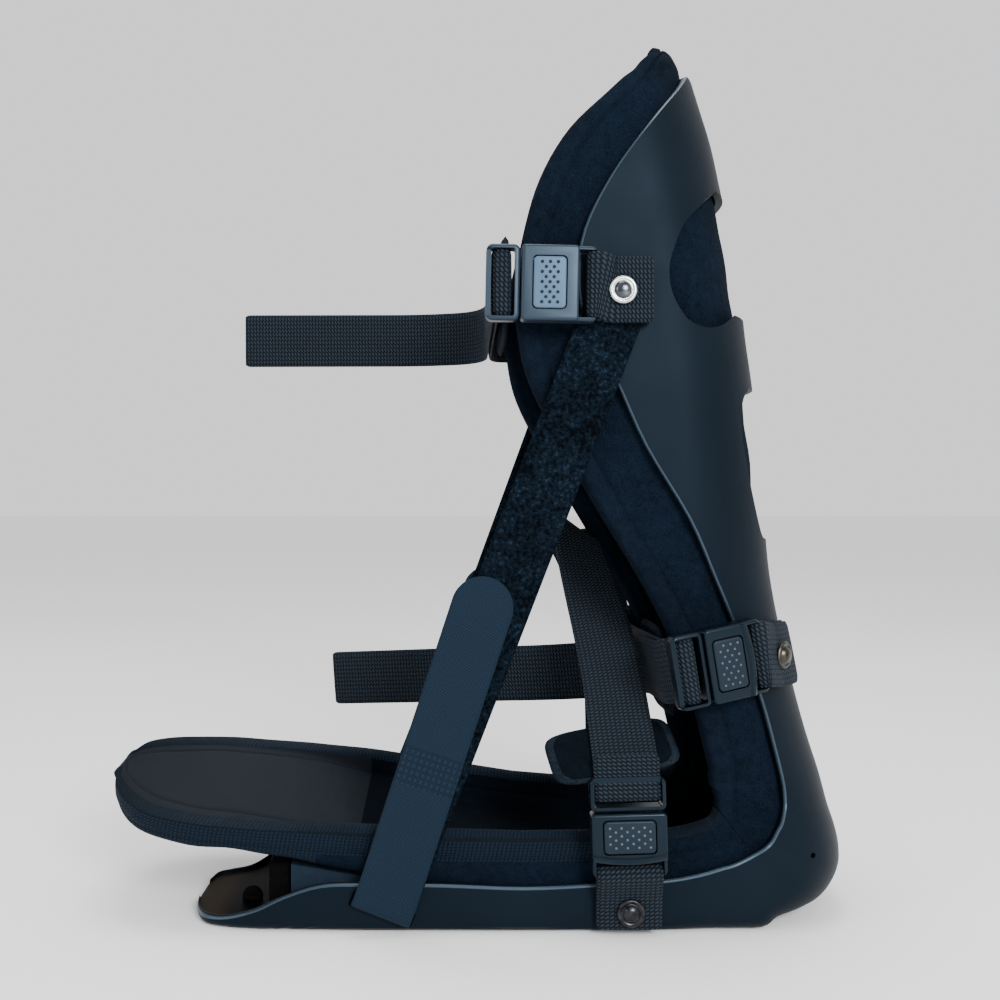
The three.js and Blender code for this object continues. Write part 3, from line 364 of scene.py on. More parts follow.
# The liner's toe: x, underside, edge height, half-width, roll, thickness
TOE_ROWS = np.array([
    (-157.2, 48.6, 54.8, 13, 0.13, 6),
    (-154.3, 45.2, 54.4, 25, 0.13, 8.4),
    (-146.7, 41.6, 52.2, 35.5, 0.14, 9.8),
    (-135.8, 39.2, 49.9, 43, 0.14, 10),
    (-119.2, 37.3, 48.2, 47.2, 0.14, 10),
    (-102, 35.4, 46.6, 48, 0.14, 10),
    (-84, 33, 45.4, 47.8, 0.14, 10),
    (-66, 29, 44.6, 47.2, 0.13, 10),
    (-50, 24.2, 43.5, 46.5, 0.12, 9.6),
    (-20, 17.2, 40.4, 46.3, 0.08, 8.8),
    (12, 10.2, 38, 46.3, 0.03, 8.6),
])


def row_dict(r, inset=0.0, lined=False):
    """One section of a trough as deep as the shell's rim, or as the liner's edge reaches."""
    bx, bz, rx, rz, reach, w, a, b = r
    depth = math.hypot(rx - bx, rz - bz)
    along = np.array([(rx - bx) / depth, (rz - bz) / depth])
    return dict(base=np.array([bx, bz]), along=along, depth=reach if lined else depth, w=w, a=a, b=b, roll=0.0,
                thick=WALL, inset=inset)


# Places of the points near a section's edge, measured from the edge
NEAR = np.array([0, 0.5, 1.1, 1.8, 2.6, 3.4, 4.2, 5.0, 5.8, 6.4, 7.0, 7.8, 9.2, 11.5, 14.5])


def half_points(w, a, b, depth, far):
    """Points of half a U-shaped section: y, way up from the base, both of its normal, way from the edge."""
    a = max(min(a, w - 0.5), 0.8)
    b = max(b, 0.8)
    floor = np.linspace(0, w - a, 12)
    whole = depth > b + 0.3
    last = math.pi / 2 if whole else math.acos(max(min(1 - depth / b, 1), -1))
    t = np.linspace(0, last, 60)[1:]
    y = np.concatenate([floor, w - a + a * np.sin(t)])
    q = np.concatenate([np.zeros_like(floor), b * (1 - np.cos(t))])
    ny = np.concatenate([np.zeros_like(floor), np.sin(t) / a])
    nq = np.concatenate([-np.ones_like(floor), -np.cos(t) / b])
    if whole:
        wall = np.linspace(b, depth, 14)[1:]
        y = np.concatenate([y, np.full_like(wall, w)])
        q = np.concatenate([q, wall])
        ny = np.concatenate([ny, np.ones_like(wall)])
        nq = np.concatenate([nq, np.zeros_like(wall)])
    size = np.hypot(ny, nq)
    ny, nq = ny / size, nq / size
    s = np.concatenate([[0], np.cumsum(np.hypot(np.diff(y), np.diff(q)))])
    near = NEAR * min(1, s[-1] / 32)
    want = np.concatenate([np.linspace(0, s[-1] - near[-1], far, endpoint=False), s[-1] - near[::-1]])
    return np.stack([np.interp(want, s, v) for v in (y, q, ny, nq)] + [s[-1] - want], axis=1)


def trough(name, rows, mats, slot_of, lips, outer_push=None, inner_push=None):
    """A wall with U-shaped sections and a rolled edge. slot_of(kind, way from edge, point): its material."""
    rings, uvs, ways, kinds = [], [], [], None
    middles = np.array([r["base"] for r in rows])
    run = np.concatenate([[0], np.cumsum(np.linalg.norm(np.diff(middles, axis=0), axis=1))])
    for i, row in enumerate(rows):
        off, t = row["inset"], row["thick"]

        def skin(o, push, sign):
            pts = half_points(row["w"] - o, row["a"] - o, row["b"] - o, row["depth"] - o, 26)
            res = []
            for k in (1, -1):
                shift = push(pts, run[i], k) if push else np.zeros(len(pts))
                res.append(np.stack([k * (pts[:, 0] + sign * pts[:, 2] * shift),
                                     o + pts[:, 1] + sign * pts[:, 3] * shift, pts[:, 4]], axis=1))
            return res

        out_r, out_l = skin(off, outer_push, 1)
        in_r, in_l = skin(off + t, inner_push, -1)

        def lip(a, b):
            c, r = (a[:2] + b[:2]) / 2, (a[:2] - b[:2]) / 2
            perp = np.linalg.norm(r) * row.get("lip", 0.8)
            ang = np.pi * np.arange(1, lips) / lips
            return np.stack([c[0] + r[0] * np.cos(ang), c[1] + r[1] * np.cos(ang) + perp * np.sin(ang),
                             np.zeros(lips - 1)], axis=1)

        lr = lip(out_r[-1], in_r[-1])
        ll = lip(in_l[-1], out_l[-1])
        ring = np.concatenate([out_l[:0:-1], out_r, lr, in_r[::-1], in_l[1:], ll])
        if kinds is None:
            m = 2 * len(out_r) - 1
            rim, rest = ["rim"] * 2, ["lip"] * (len(lr) - 2)
            kinds = ["out"] * m + rim + rest + ["in"] * m + rest + rim
        y, q = ring[:, 0], ring[:, 1]
        pts = np.stack([row["base"][0] + row["along"][0] * q, y + row.get("aside", 0),
                        row["base"][1] + row["along"][1] * q + row["roll"] * y], axis=1)
        rings.append(pts)
        ways.append(ring[:, 2])
        across = np.concatenate([[0], np.cumsum(np.linalg.norm(np.diff(pts, axis=0), axis=1))])
        uvs.append(np.stack([across, np.full(len(pts), run[i])], axis=1))
    n, last, inner = len(kinds), len(rows) - 1, m + lips - 1
    faces, slots = [], []
    for i in range(last):
        for j in range(n):
            j2 = (j + 1) % n
            faces.append((i * n + j, i * n + j2, i * n + n + j2, i * n + n + j))
            slots.append(slot_of(kinds[j], (ways[i][j] + ways[i + 1][j]) / 2, rings[i][j]))
    for i in (0, last):
        base = i * n
        for j in range(m - 1):
            faces.append((base + j, base + j + 1, base + inner + m - 2 - j, base + inner + m - 1 - j))
            slots.append(slot_of("end", ways[i][j], rings[i][j]))
        faces.append([base + m - 1 + k for k in range(lips + 1)])
        faces.append([base + inner + m - 1 + k for k in range(lips)] + [base])
        slots += [slot_of("lip", 0, rings[i][0])] * 2
    return make(name, np.concatenate(rings), faces, mats, slots, np.concatenate(uvs))


def round_end(rows, radius, at_end=True, steps=4, way=None):
    """Extra rows that round the last (or first) end of a trough. Way: where the end points."""
    rows = list(rows)
    edge, nxt = (rows[-1], rows[-2]) if at_end else (rows[0], rows[1])
    go = edge["base"] - nxt["base"]
    go = go / np.linalg.norm(go) if way is None else np.array(way, dtype=float)
    extra = []
    for k in range(1, steps + 1):
        f = math.pi / 2 * k / steps
        d = radius * (1 - math.cos(f))
        r = dict(edge)
        r["base"] = edge["base"] + go * radius * math.sin(f)
        r["inset"] = edge["inset"] + d
        r["thick"] = edge["thick"] - 2 * d
        r["depth"] = edge["depth"] - d
        extra.append(r)
    return rows + extra if at_end else extra[::-1] + rows


# Shell

# How far the toe end lies askew, row by row
ASKEW = [-13, -13, -16, -14.8, -4, 0, 0, 0]
shell_rows = [row_dict(r) for r in curve_through(SHELL_ROWS, 4)][:-1]
for r, v in zip(shell_rows, curve_through([[v] for v in ASKEW], 4)[:, 0]):
    r["aside"] = float(v)
for r in shell_rows:
    r["base"][1] = max(r["base"][1], 0.0)
    r["depth"] -= 0.9
shell_rows = round_end(shell_rows, 1.2)


def shell_slot(kind, way, p):
    # Rim faces: painted highlight.
    if kind == "rim":
        return 2
    # Inside faces at the front and low down take the painted warm light and painted shade.
    return 1 if kind == "in" and p[0] < 20 and p[2] < 60 else 0


shell = trough("shell_dressed", shell_rows, [SHELL_MAT, SHELL_IN_PAINTED_LIGHT, SHELL_RIM_HIGHLIGHT], shell_slot, 6)

# Outlines of the two windows at the back, as x and z
UPPER = [(150, 291.9), (98, 291.9), (90, 291.9), (81, 282.6), (73.5, 273.6), (69.8, 264.6), (68, 257.7),
         (68.6, 249.1), (72.5, 240.8), (77, 236.3), (83.7, 234.6), (90.5, 236.3), (97.5, 241.5), (150, 241.5)]
LOWER = [(150, 212.9), (108, 212.9), (105, 212.9), (100.8, 208), (99, 200.1), (99.8, 189.8), (103.5, 172.5),
         (108.8, 155.3), (112.5, 151.1), (116, 151.1), (150, 151.1)]

# Centres of the calf rivet and of the slot at the toe, and the line between them
RIVET_AT = np.array([48.9, 247.02])
SLOT_AT = np.array([-43.5, 8.28])
RUN = float(np.linalg.norm(SLOT_AT - RIVET_AT))
DOWN = (SLOT_AT - RIVET_AT) / RUN
ACROSS = np.array([-DOWN[1], DOWN[0]])


def on_strap(s, t):
    return tuple(RIVET_AT + DOWN * s + ACROSS * t)


def slot_shape(half, low, high):
    return [on_strap(RUN + s, t) for s, t in ((low, -half), (low, half), (high, half), (high, -half))]


HEEL_HOLE = (124.5, 28.6)
HOLE_RADIUS = 1.1
for outline in (UPPER, LOWER):
    middle = [tuple(p) for p in curve_through(outline[2:-1], 6)]
    combine(shell, prism("cut", [outline[0], *middle, outline[-1]], -90, 90, SHELL_MAT))
for side in (-1, 1):
    ys = sorted((side * 52.8, side * 49))
    lip_bar = prism("lip", slot_shape(12.6, 2.3, 3.9), *ys, SHELL_MAT)
    modify(lip_bar, "BEVEL", width=0.9 * MM, segments=3)
    combine(shell, lip_bar, "UNION")
    ys = sorted((side * 38, side * 62))
    combine(shell, prism("cut", slot_shape(12.8, -3.68, 2.3), *ys, SHELL_MAT))
    ring = [(HEEL_HOLE[0] + HOLE_RADIUS * math.cos(a), HEEL_HOLE[1] + HOLE_RADIUS * math.sin(a))
            for a in np.linspace(0, 2 * math.pi, 20, endpoint=False)]
    combine(shell, prism("cut", ring, *sorted((side * 30, side * 60)), SHELL_MAT))
slab = prism("cut", [(-300, -20), (300, -20), (300, 0), (-300, 0)], -200, 200, SHELL_MAT)
combine(shell, slab)
shade_by_angle(shell, 32)


# Liner

INSET = WALL + 1.4  # from the shell's outer face to the liner's
BOUND = 6.6  # width of the binding


def soft(pts, run, side, phase=0.0):
    y = pts[:, 0] * side
    swell = 0.35 * np.sin(run * 0.11 + phase + y * 0.05) + 0.25 * np.sin(run * 0.23 + y * 0.09 + 1.3 + phase)
    return swell * np.clip(pts[:, 4] / 12, 0, 1)


def seam(w, width):
    return np.exp(-(((w - BOUND) / width) ** 2))


def liner_out(pts, run, side):
    w = pts[:, 4]
    return soft(pts, run, side) - 1.0 * seam(w, 1.0) - 0.2 * np.exp(-((w / 2.0) ** 2))


def liner_in(pts, run, side):
    w = pts[:, 4]
    return soft(pts, run, side, 2.0) - 0.9 * seam(w, 1.0) + 0.3 * np.exp(-(((w - 14) / 8) ** 2))


def foot_in(pts, run, side):
    return soft(pts, run, side, 2.0) * 0.6 - 0.6 * seam(pts[:, 4], 0.9)


def calf_slot(kind, way, p):
    if kind in ("lip", "rim") or (kind != "end" and way < BOUND):
        return 1
    # Inner faces take the darker cloth: painted shade.
    return 2 if kind == "in" else 0


calf_keys = np.vstack([SHELL_ROWS[15:], TONGUE_ROWS])
# Above the shell the liner's edge runs straight to its corner
calf_keys[-4, 4] = 40.5
calf_keys[-3, 2:5] = (75, 341.8, 30.2)
calf_rows = [row_dict(r, INSET, True) for r in curve_through(calf_keys, 5)]
LAST_FULL = 100  # above this row the edge gets flatter
for i, r in enumerate(calf_rows):
    r["thick"] = LINER
    r["lip"] = 0.75 - 0.5 * min(1, max(0, i - LAST_FULL) / 12)
    r["depth"] -= LINER / 2 * r["lip"] * 0.8
calf_rows[0]["base"] = calf_rows[0]["base"] + np.array([0.3, 0.3])
calf_rows = round_end(calf_rows, 3.4, steps=5)
calf_rows = round_end(calf_rows, 0.8, at_end=False, steps=2)
calf_liner = trough("calf_liner_dressed", calf_rows, [LINER_MAT, BINDING, LINER_IN_SHADE], calf_slot, 7,
                    liner_out, liner_in)


def toe_row(x, under, edge, w, roll, thick, lip, less):
    return dict(base=np.array([x, under - INSET]), along=np.array([0.0, 1.0]), depth=edge - under + INSET - less,
                w=w + INSET, a=7 + INSET, b=7 + INSET, roll=roll, thick=thick, inset=INSET, lip=lip)


toe_rows = []
for row in curve_through(TOE_ROWS[:-1], 5):
    x, thick = row[0], row[5]
    lip = 0.15 + 0.6 * min(1, max(0, (x + 84) / 50))
    toe_rows.append(toe_row(*row, lip, thick / 2 * lip * 0.8))
mid = toe_row(*TOE_ROWS[-1], 0.75, 3)
foot_rows = [row_dict(r, INSET, True) for r in curve_through(SHELL_ROWS[10:16], 5)]
for r in foot_rows:
    r["thick"] = LINER
    r["lip"] = 0.75
    r["depth"] -= 2.6


def mix_rows(a, b, t):
    return {k: a[k] + (b[k] - a[k]) * t for k in a}


bridge = [mix_rows(toe_rows[-1], mid, t) for t in (0.2, 0.4, 0.6, 0.8)]
bridge += [mix_rows(mid, foot_rows[0], t) for t in (0, 0.2, 0.4, 0.6, 0.8)]
all_rows = toe_rows + bridge + foot_rows
all_rows[-1] = dict(all_rows[-1])
all_rows[-1]["base"] = all_rows[-1]["base"] - np.array([0.35, 0.35])
all_rows = round_end(all_rows, 0.8, steps=2)
all_rows = round_end(all_rows, 2.6, at_end=False, steps=5, way=(-1, 0))


def foot_slot(kind, way, p):
    if kind in ("lip", "rim") or (kind == "out" and way < 7.5 and p[0] < 60):
        return 1
    if kind == "in":
        # The footbed's lighter twill ends at x = -56; behind it the darker cloth is a painted cast shadow.
        return 3 if p[0] < -56 else 2
    if kind == "end":
        return 1
    return 0 if p[0] > -72 else 1


foot_liner = trough("foot_liner_dressed", all_rows, [LINER_MAT, FOOT_BINDING, LINER_IN_SHADE, FOOTBED], foot_slot, 7,
                    liner_out, foot_in)


# Wedge, hook block and stud

def soft_box(name, outline, half, mat, bevel):
    o = prism(name, outline, -half, half, mat)
    modify(o, "BEVEL", width=bevel * MM, segments=3)
    shade_by_angle(o, 40)
    return o


BED = 3.4  # upper face of the sole, with a little room
wedge = soft_box("toe_wedge_dressed", [(-80, BED), (30, BED), (30, BED + 1), (-80, 23.1)], 40, FOAM, 0.3)
# The hook block's black fills the toe's inside left of the wedge, which lies in shade: partly painted shade.
hook = soft_box("hook_block_dressed", [(-89.3, BED), (-80.4, BED), (-80.4, 22.9), (-89.3, 23.1)], 37, HOOK, 1.2)


def tube_faces(rings, n, base=0):
    """Faces of a tube of rings with n points each, closed at both ends."""
    faces = []
    for a in range(base, base + (rings - 1) * n, n):
        faces += [(a + j, a + (j + 1) % n, a + n + (j + 1) % n, a + n + j) for j in range(n)]
    return faces + [[base + j for j in range(n)], [base + (rings - 1) * n + j for j in range(n)]]


AROUND = 48


def lathe(name, profile, mat, at, out):
    turns = [2 * math.pi * k / AROUND for k in range(AROUND)]
    verts = [(r * math.cos(a), r * math.sin(a), h) for r, h in profile for a in turns]
    faces = tube_faces(len(profile), AROUND)
    turn = Vector((0, 0, 1)).rotation_difference(Vector(out)).to_matrix().to_4x4()
    m = Matrix.Translation(Vector(at)) @ turn
    return make(name, [m @ Vector(v) for v in verts], faces, [mat])


STUD = [(3.9, 0), (4.2, 0.3), (4.2, 1.2), (3.8, 1.6), (1.2, 1.6), (0.9, 1.2), (0.05, 1.2)]
stud = lathe("toe_stud_dressed", STUD, HOOK, (-98.25, -22.2, 4.2), (0, -1, 0))


# Bands: a flat woven section swept along a path

def smooth_path(corners, radii, step):
    """Rounds the inner corners of a path and spaces its points evenly."""
    c = [np.array(p, dtype=float) for p in corners]
    out = [c[0]]
    for i in range(1, len(c) - 1):
        r = radii[i]
        if r == 0:
            out.append(c[i])
            continue
        a, b = c[i - 1] - c[i], c[i + 1] - c[i]
        la, lb = np.linalg.norm(a), np.linalg.norm(b)
        r = min(r, la * 0.49, lb * 0.49)
        p, q = c[i] + a / la * r, c[i] + b / lb * r
        for k in range(9):
            t = k / 8
            out.append(p * (1 - t) ** 2 + c[i] * 2 * t * (1 - t) + q * t * t)
    out.append(c[-1])
    out = np.array(out)
    s = np.concatenate([[0], np.cumsum(np.linalg.norm(np.diff(out, axis=0), axis=1))])
    keep = np.concatenate([[True], np.diff(s) > 1e-6])
    out, s = out[keep], s[keep]
    n = max(int(s[-1] / step), 4)
    want = np.linspace(0, s[-1], n + 1)
    return np.stack([np.interp(want, s, out[:, k]) for k in range(3)], axis=1)


def band(name, path, across_of, width_of, thick, mats, crown, slot_of=lambda at: 0, cells=14):
    """across_of(point): direction of the width; crown: bulge of the middle; slot_of(way): its material."""
    pts = np.array(path)
    s = np.concatenate([[0], np.cumsum(np.linalg.norm(np.diff(pts, axis=0), axis=1))])
    verts, uvs, n = [], [], 2 * (cells + 1)
    for i, p in enumerate(pts):
        t = pts[min(i + 1, len(pts) - 1)] - pts[max(i - 1, 0)]
        t = t / np.linalg.norm(t)
        w = np.array(across_of(p), dtype=float)
        w = w - t * np.dot(w, t)
        w = w / np.linalg.norm(w)
        out = np.cross(t, w)
        half = width_of(s[i], s[-1]) / 2
        loop = []
        for k in range(cells + 1):
            f = -1 + 2 * k / cells
            edge = 0.55 if abs(f) == 1 else 1.0
            loop.append((f * half, thick / 2 * edge + crown * (1 - f * f)))
        for k in range(cells + 1):
            f = 1 - 2 * k / cells
            edge = 0.55 if abs(f) == 1 else 1.0
            loop.append((f * half, -thick / 2 * edge))
        for a, b in loop:
            verts.append(p + w * a + out * b)
            uvs.append((a, s[i]))
    faces, slots = [], []
    for i in range(len(pts) - 1):
        for j in range(n):
            j2 = (j + 1) % n
            faces.append((i * n + j, i * n + j2, (i + 1) * n + j2, (i + 1) * n + j))
            slots.append(slot_of(s[i]))
    for base in (0, (len(pts) - 1) * n):
        for j in range(cells):
            faces.append((base + j, base + j + 1, base + n - 2 - j, base + n - 1 - j))
            slots.append(0)
    return make(name, verts, faces, mats, slots, uvs)


def tongue_width(at, total):
    half, left = 12, total - at
    return 2 * half * math.sqrt(max(1 - (1 - left / half) ** 2, 0.0004)) if left < half else 2 * half


def tension(side):
    """Down the outside, in through the slot, out again and back up. Its points: way along the line, y."""
    outer, end, drop, inner = 51.1, 0.53 * RUN, 1.1, 44.8
    path = [(-2, outer), (RUN * 0.5, outer), (RUN - 8, outer), (RUN - drop - 1.2, outer - 0.2),
            (RUN - drop, outer - 2.6), (RUN - drop, inner + 0.6), (RUN - drop * 0.5, inner - 0.5),
            (RUN + drop * 0.5, inner - 0.5), (RUN + drop, inner + 0.6), (RUN + drop, outer + 0.6),
            (RUN + drop - 1.2, outer + 2.6), (RUN - 5, outer + 2.8), (RUN - 16, outer + 2.0),
            (end * 0.5 + RUN * 0.5, outer + 2.0), (RUN - end, outer + 2.0)]
    pts = []
    for i, (s, y) in enumerate(path):
        drift = -0.053 * max(RUN - 8 - s, 0) if i > 11 else 0
        if side > 0:
            drift = 0.4 * drift + 2.4 * math.sin(math.pi * min(max(s / RUN, 0), 1))
        x, z = on_strap(s, drift)
        pts.append((x, side * y, z))
    fine = smooth_path(pts, [0, 0, 6, 1, 1, 1, 0.6, 0.6, 1, 1, 1.4, 4, 6, 6, 0], 1.1)

    # The rounded end gets closer rows
    back = fine[-8] - fine[-1]
    tail = [fine[-8] - back * f for f in (0.3, 0.5)]
    tail += [fine[-1] + back * f for f in (0.34, 0.22, 0.13, 0.07, 0.03, 0.01, 0)]
    name = "tension_strap_%s_dressed" % ("near" if side < 0 else "far")
    return band(name, np.array(list(fine[:-7]) + tail), lambda p: (ACROSS[0], 0, ACROSS[1]), tongue_width, 1.5,
                [LOOP, TWILL], 0.12, lambda at: 1 if at > RUN + 8 else 0, 16)


tension_near, tension_far = tension(-1), tension(1)


# Buckles. Local axes: u from the body towards the frame, v across, n outwards.

def frame_matrix(at, u, n):
    u, n = Vector(u).normalized(), Vector(n).normalized()
    v = n.cross(u)
    return Matrix(((u.x, v.x, n.x, at[0]), (u.y, v.y, n.y, at[1]), (u.z, v.z, n.z, at[2]), (0, 0, 0, 1)))


def turned(v, angle):
    return Matrix.Rotation(angle, 3, "Z") @ Vector(v)


ANKLE_TURN = 0.245
RIVET_Q = 9.5  # where the ankle rivets sit, measured round from the back
JOINT = 79.67  # ankle buckle, between its body and its frame
CROSS = JOINT - 11.18  # where the ankle strap crosses
PLACES = {
    "calf": dict(m=frame_matrix((10.05, -52.3, 249.6), (-1, 0, 0.02), (0, -1, 0)), body=22.0, arm=7.2),
    "ankle": dict(m=frame_matrix((JOINT, -51.9, 103.33), turned((-0.985, 0, -0.17), ANKLE_TURN),
                                 turned((0, -1, 0), ANKLE_TURN)), body=18.04, arm=6.6),
    "instep": dict(m=frame_matrix((50.85, -52.3, 48.47), (-0.03, 0, 1), (0, -1, 0)), body=18.04, arm=6.6),
}
HALF = 14.45  # half the buckle's width
INSIDE = 12.9  # half the width of its openings


def local_box(u0, u1, half, n0, n1, mat, bevel=0.0):
    c = [(u, v, n) for n in (n0, n1) for v in (-half, half) for u in (u0, u1)]
    f = [(0, 1, 3, 2), (4, 5, 7, 6), (0, 1, 5, 4), (2, 3, 7, 6), (0, 2, 6, 4), (1, 3, 7, 5)]
    o = make("box", c, f, [mat], smooth=False)
    if bevel:
        modify(o, "BEVEL", width=bevel * MM, segments=3)
    return o


def plate(name, u0, u1, half, corner, n0, n1, mat, top=1.0, under=0.5):
    """A plate with rounded corners whose upper rim is rounded by `top` and its lower one by `under`."""
    middle, hu = (u0 + u1) / 2, (u1 - u0) / 2

    def ring(inset, n):
        pts = []
        r = max(corner - inset, 0.25)
        cu, cv = hu - inset - r, half - inset - r
        for cx, cy, a0 in ((cu, cv, 0), (-cu, cv, 90), (-cu, -cv, 180), (cu, -cv, 270)):
            for k in range(7):
                a = math.radians(a0 + 15 * k)
                pts.append((middle + cx + r * math.cos(a), cy + r * math.sin(a), n))
        return pts

    loops = []
    for k in range(5):
        a = math.pi / 2 * k / 4
        loops.append(ring(under * (1 - math.sin(a)), n0 + under * (1 - math.cos(a))))
    for k in range(6):
        a = math.pi / 2 * k / 5
        loops.append(ring(top * (1 - math.cos(a)), n1 - top * (1 - math.sin(a))))
    return make(name, [p for l in loops for p in l], tube_faces(len(loops), len(loops[0])), [mat])


def put(o, m):
    scaled = Matrix.Translation(Vector(m.translation) * MM) @ m.to_3x3().to_4x4()
    o.data.transform(scaled)
    return o


def raised_lip(long, mat):
    """The lip that the body carries towards its anchor, bowed across."""
    profile = ((0.0, 5.6), (0.3, 7.1), (1.1, 8.0), (2.1, 8.0), (3.0, 7.3), (3.3, 5.6))
    n, steps = len(profile), 24
    verts = []
    for i in range(steps + 1):
        f = -1 + 2 * i / steps
        bow = 1.5 * (1 - f * f)
        verts += [(-long + 2.6 - bow - du + 0.8, f * 13.9, h) for du, h in profile]
    return make("lip", verts, tube_faces(steps + 1, n), [mat])


def button_dots(middle, lit):
    """Rings pressed into the calf buckle's button, knobs on the other two."""
    rows, facets, verts, faces = (9 if lit else 8), 14, [], []
    profile = ((0.5, -0.1), (0.5, 0.14), (0.34, 0.32), (0.05, 0.4))
    if lit:
        profile = ((0.62, -0.1), (0.62, 0.22), (0.42, 0.34), (0.26, 0.2), (0.05, 0.12))
    turns = np.linspace(0, 2 * math.pi, facets, endpoint=False)
    for r in range(rows):
        v = (r - (rows - 1) / 2) * (15.2 / (rows - 1))
        count = 2 if lit and r % 2 else 3
        shift = 0 if lit else (0.75 if r % 2 else -0.75)
        for c in range(count):
            u = middle + (c - (count - 1) / 2) * 3.0 + shift
            faces += tube_faces(len(profile), facets, len(verts))
            verts += [(u + rad * math.cos(a), v + rad * math.sin(a), 7.7 + h)
                      for rad, h in profile for a in turns]
    # The knobs on the dark buttons get the pale tone, a painted highlight.
    return make("dots", verts, faces, [DOTS if lit else DOTS_HIGHLIGHT])


def buckle(key):
    place = PLACES[key]
    long, arm, m = place["body"], place["arm"], place["m"]
    lit = key == "calf"
    mat, cap = (BUCKLE_LIT, BUTTON_LIT) if lit else (BUCKLE, BUTTON)
    back, middle = -long - arm, -0.5 * long + 0.2
    body = plate("body", -long, 0, HALF, 1.6, 0, 7.2, mat, 1.1)
    combine(body, plate("arms", back, -long + 4, HALF, 2.6, 0.2, 6.0, mat, 1.4), "UNION")
    for cut in ((back + 2.2, -long, INSIDE, -1, 9), (back - 1, back + 2.3, INSIDE, 4, 9),
                (back - 1, back + 2.3, INSIDE, -1, 2.5)):
        combine(body, local_box(*cut, mat))
    if not lit:
        combine(body, raised_lip(long, mat), "UNION")
    combine(body, plate("well", middle - 6.65, middle + 6.65, 10.25, 1.9, 5.0, 9.5, mat, 0.1, 0.1))
    shade_by_angle(body, 38)
    button = plate("button", middle - 6.2, middle + 6.2, 9.8, 1.7, 5.4, 7.7, cap, 0.7, 0.2)
    both = [button, button_dots(middle, lit)]
    with bpy.context.temp_override(active_object=button, object=button, selected_objects=both,
                                   selected_editable_objects=both):
        bpy.ops.object.join()
    shade_by_angle(button, 40)
    ring = plate("frame", 0.4, 13.4, 14.55, 2.6, 0.4, 6.4, mat, 1.3, 0.8)
    combine(ring, plate("opening", 2.4, 11.4, INSIDE, 0.9, -2, 9, mat, 0.05, 0.05))
    combine(ring, local_box(11.3, 15.4, INSIDE, 4.9, 9, mat))
    for bar in ((11.6, 13.3, 13.4, 0.8, 4.9, mat, 0.6), (6.0, 7.8, 13.5, 2.1, 3.7, mat, 0.5)):
        combine(ring, local_box(*bar), "UNION")
    shade_by_angle(ring, 38)
    parts = {"body": body, "button": button, "frame": ring}
    for name, o in parts.items():
        put(o, m)
        o.name = "%s_buckle_%s_dressed" % (key, name)
    return parts


buckles = {k: buckle(k) for k in PLACES}


# Webbing

# Ways of the strap round the frame's bar, as u and n: out and up again, or out and in again
TURN = [(5.2, 4.7), (4.3, 3.6), (4.3, 2.2), (5.2, 1.1)]
UP = [(15.5, 3.55), (12.6, 3.7), (9.3, 4.75), (6.9, 4.95), *TURN, (8.4, 0.95), (13, 1.2), (15.5, 1.45)]
IN = [(10.4, -3), (10.4, 0.8), (10.2, 3.2), (8.6, 4.8), (6.9, 4.95), *TURN, (6.9, 0.9), (8.1, 0.5), (8.6, -0.9),
      (8.6, -3)]
IN_RADIUS = [1, 1.5, 1.5, 1.5, 1.5, 1.2, 1, 0.8, 0.6, 0.8, 0.6, 0.8, 1, 1]


def world(m, u, n):
    return np.array(m @ Vector((u, 0, n)))


def across_buckle(m):
    return np.array(m.to_3x3() @ Vector((0, 1, 0)))


def V(x, y, z):
    """A point as shares of the foot's length, half the width and the height."""
    return np.array([x * 150, y * 50, z * 345])


def local_path(m, pairs):
    return [world(m, u, n) for u, n in pairs]


def clamp(t):
    return min(1, max(0, t))


def end_width(at, total):
    left = min(at, total - at)
    return STRAP - 1.6 * math.exp(-((left / 0.9) ** 2)) if left < 3 else STRAP


def web_band(name, corners, radii, across_of):
    return band(name, smooth_path(corners, radii, 1.3), across_of, end_width, WEBBING, [WEB], 0.14)


# Calf strap
m = PLACES["calf"]["m"]
corners = [V(-0.776, 1.08, 0.709), V(-0.2, 1.1, 0.71), (-0.35, 47.5, 245.3), (-0.35, -42.5, 250.0),
           world(m, 10.4, -4)]
radius = [0, 20, 16, 3, 1]
corners += local_path(m, IN) + [world(m, 8.6, -3.5)]
radius += IN_RADIUS
corners += [(1.45, -41, 250.0), (1.45, 45, 247.0), V(0.03, 1.125, 0.716), V(0.2, 1.125, 0.716),
            V(0.44, 1.125, 0.716)]
radius += [3, 14, 10, 10, 0]
calf_strap = web_band("calf_strap_dressed", corners, radius, lambda p: (0, 0, 1))


# Ankle strap
def wall_point(z, q, push, side):
    """The point of the shell at height z and q in front of its back, pushed out by `push`."""
    rows = SHELL_ROWS
    i = 22
    while i + 2 < len(rows) and rows[i + 1][1] < z:
        i += 1
    r, s = rows[i], rows[i + 1]
    t = (z - r[1]) / (s[1] - r[1])
    w, a, b = [r[k] + t * (s[k] - r[k]) + push for k in (5, 6, 7)]
    x = r[0] + t * (s[0] - r[0]) + push
    c = max(-1, min(1, 1 - (q + push) / b))
    y = w if q + push >= b else w - a + a * math.sqrt(1 - c * c)
    return np.array([x - q - push, side * y, z])


def unit(v):
    v = np.array(v, dtype=float)
    return v / np.linalg.norm(v)


ANKLE_Z = 105.9


def wall_slope(side):
    return unit(wall_point(ANKLE_Z + 10, RIVET_Q, 0, side) - wall_point(ANKLE_Z - 10, RIVET_Q, 0, side))


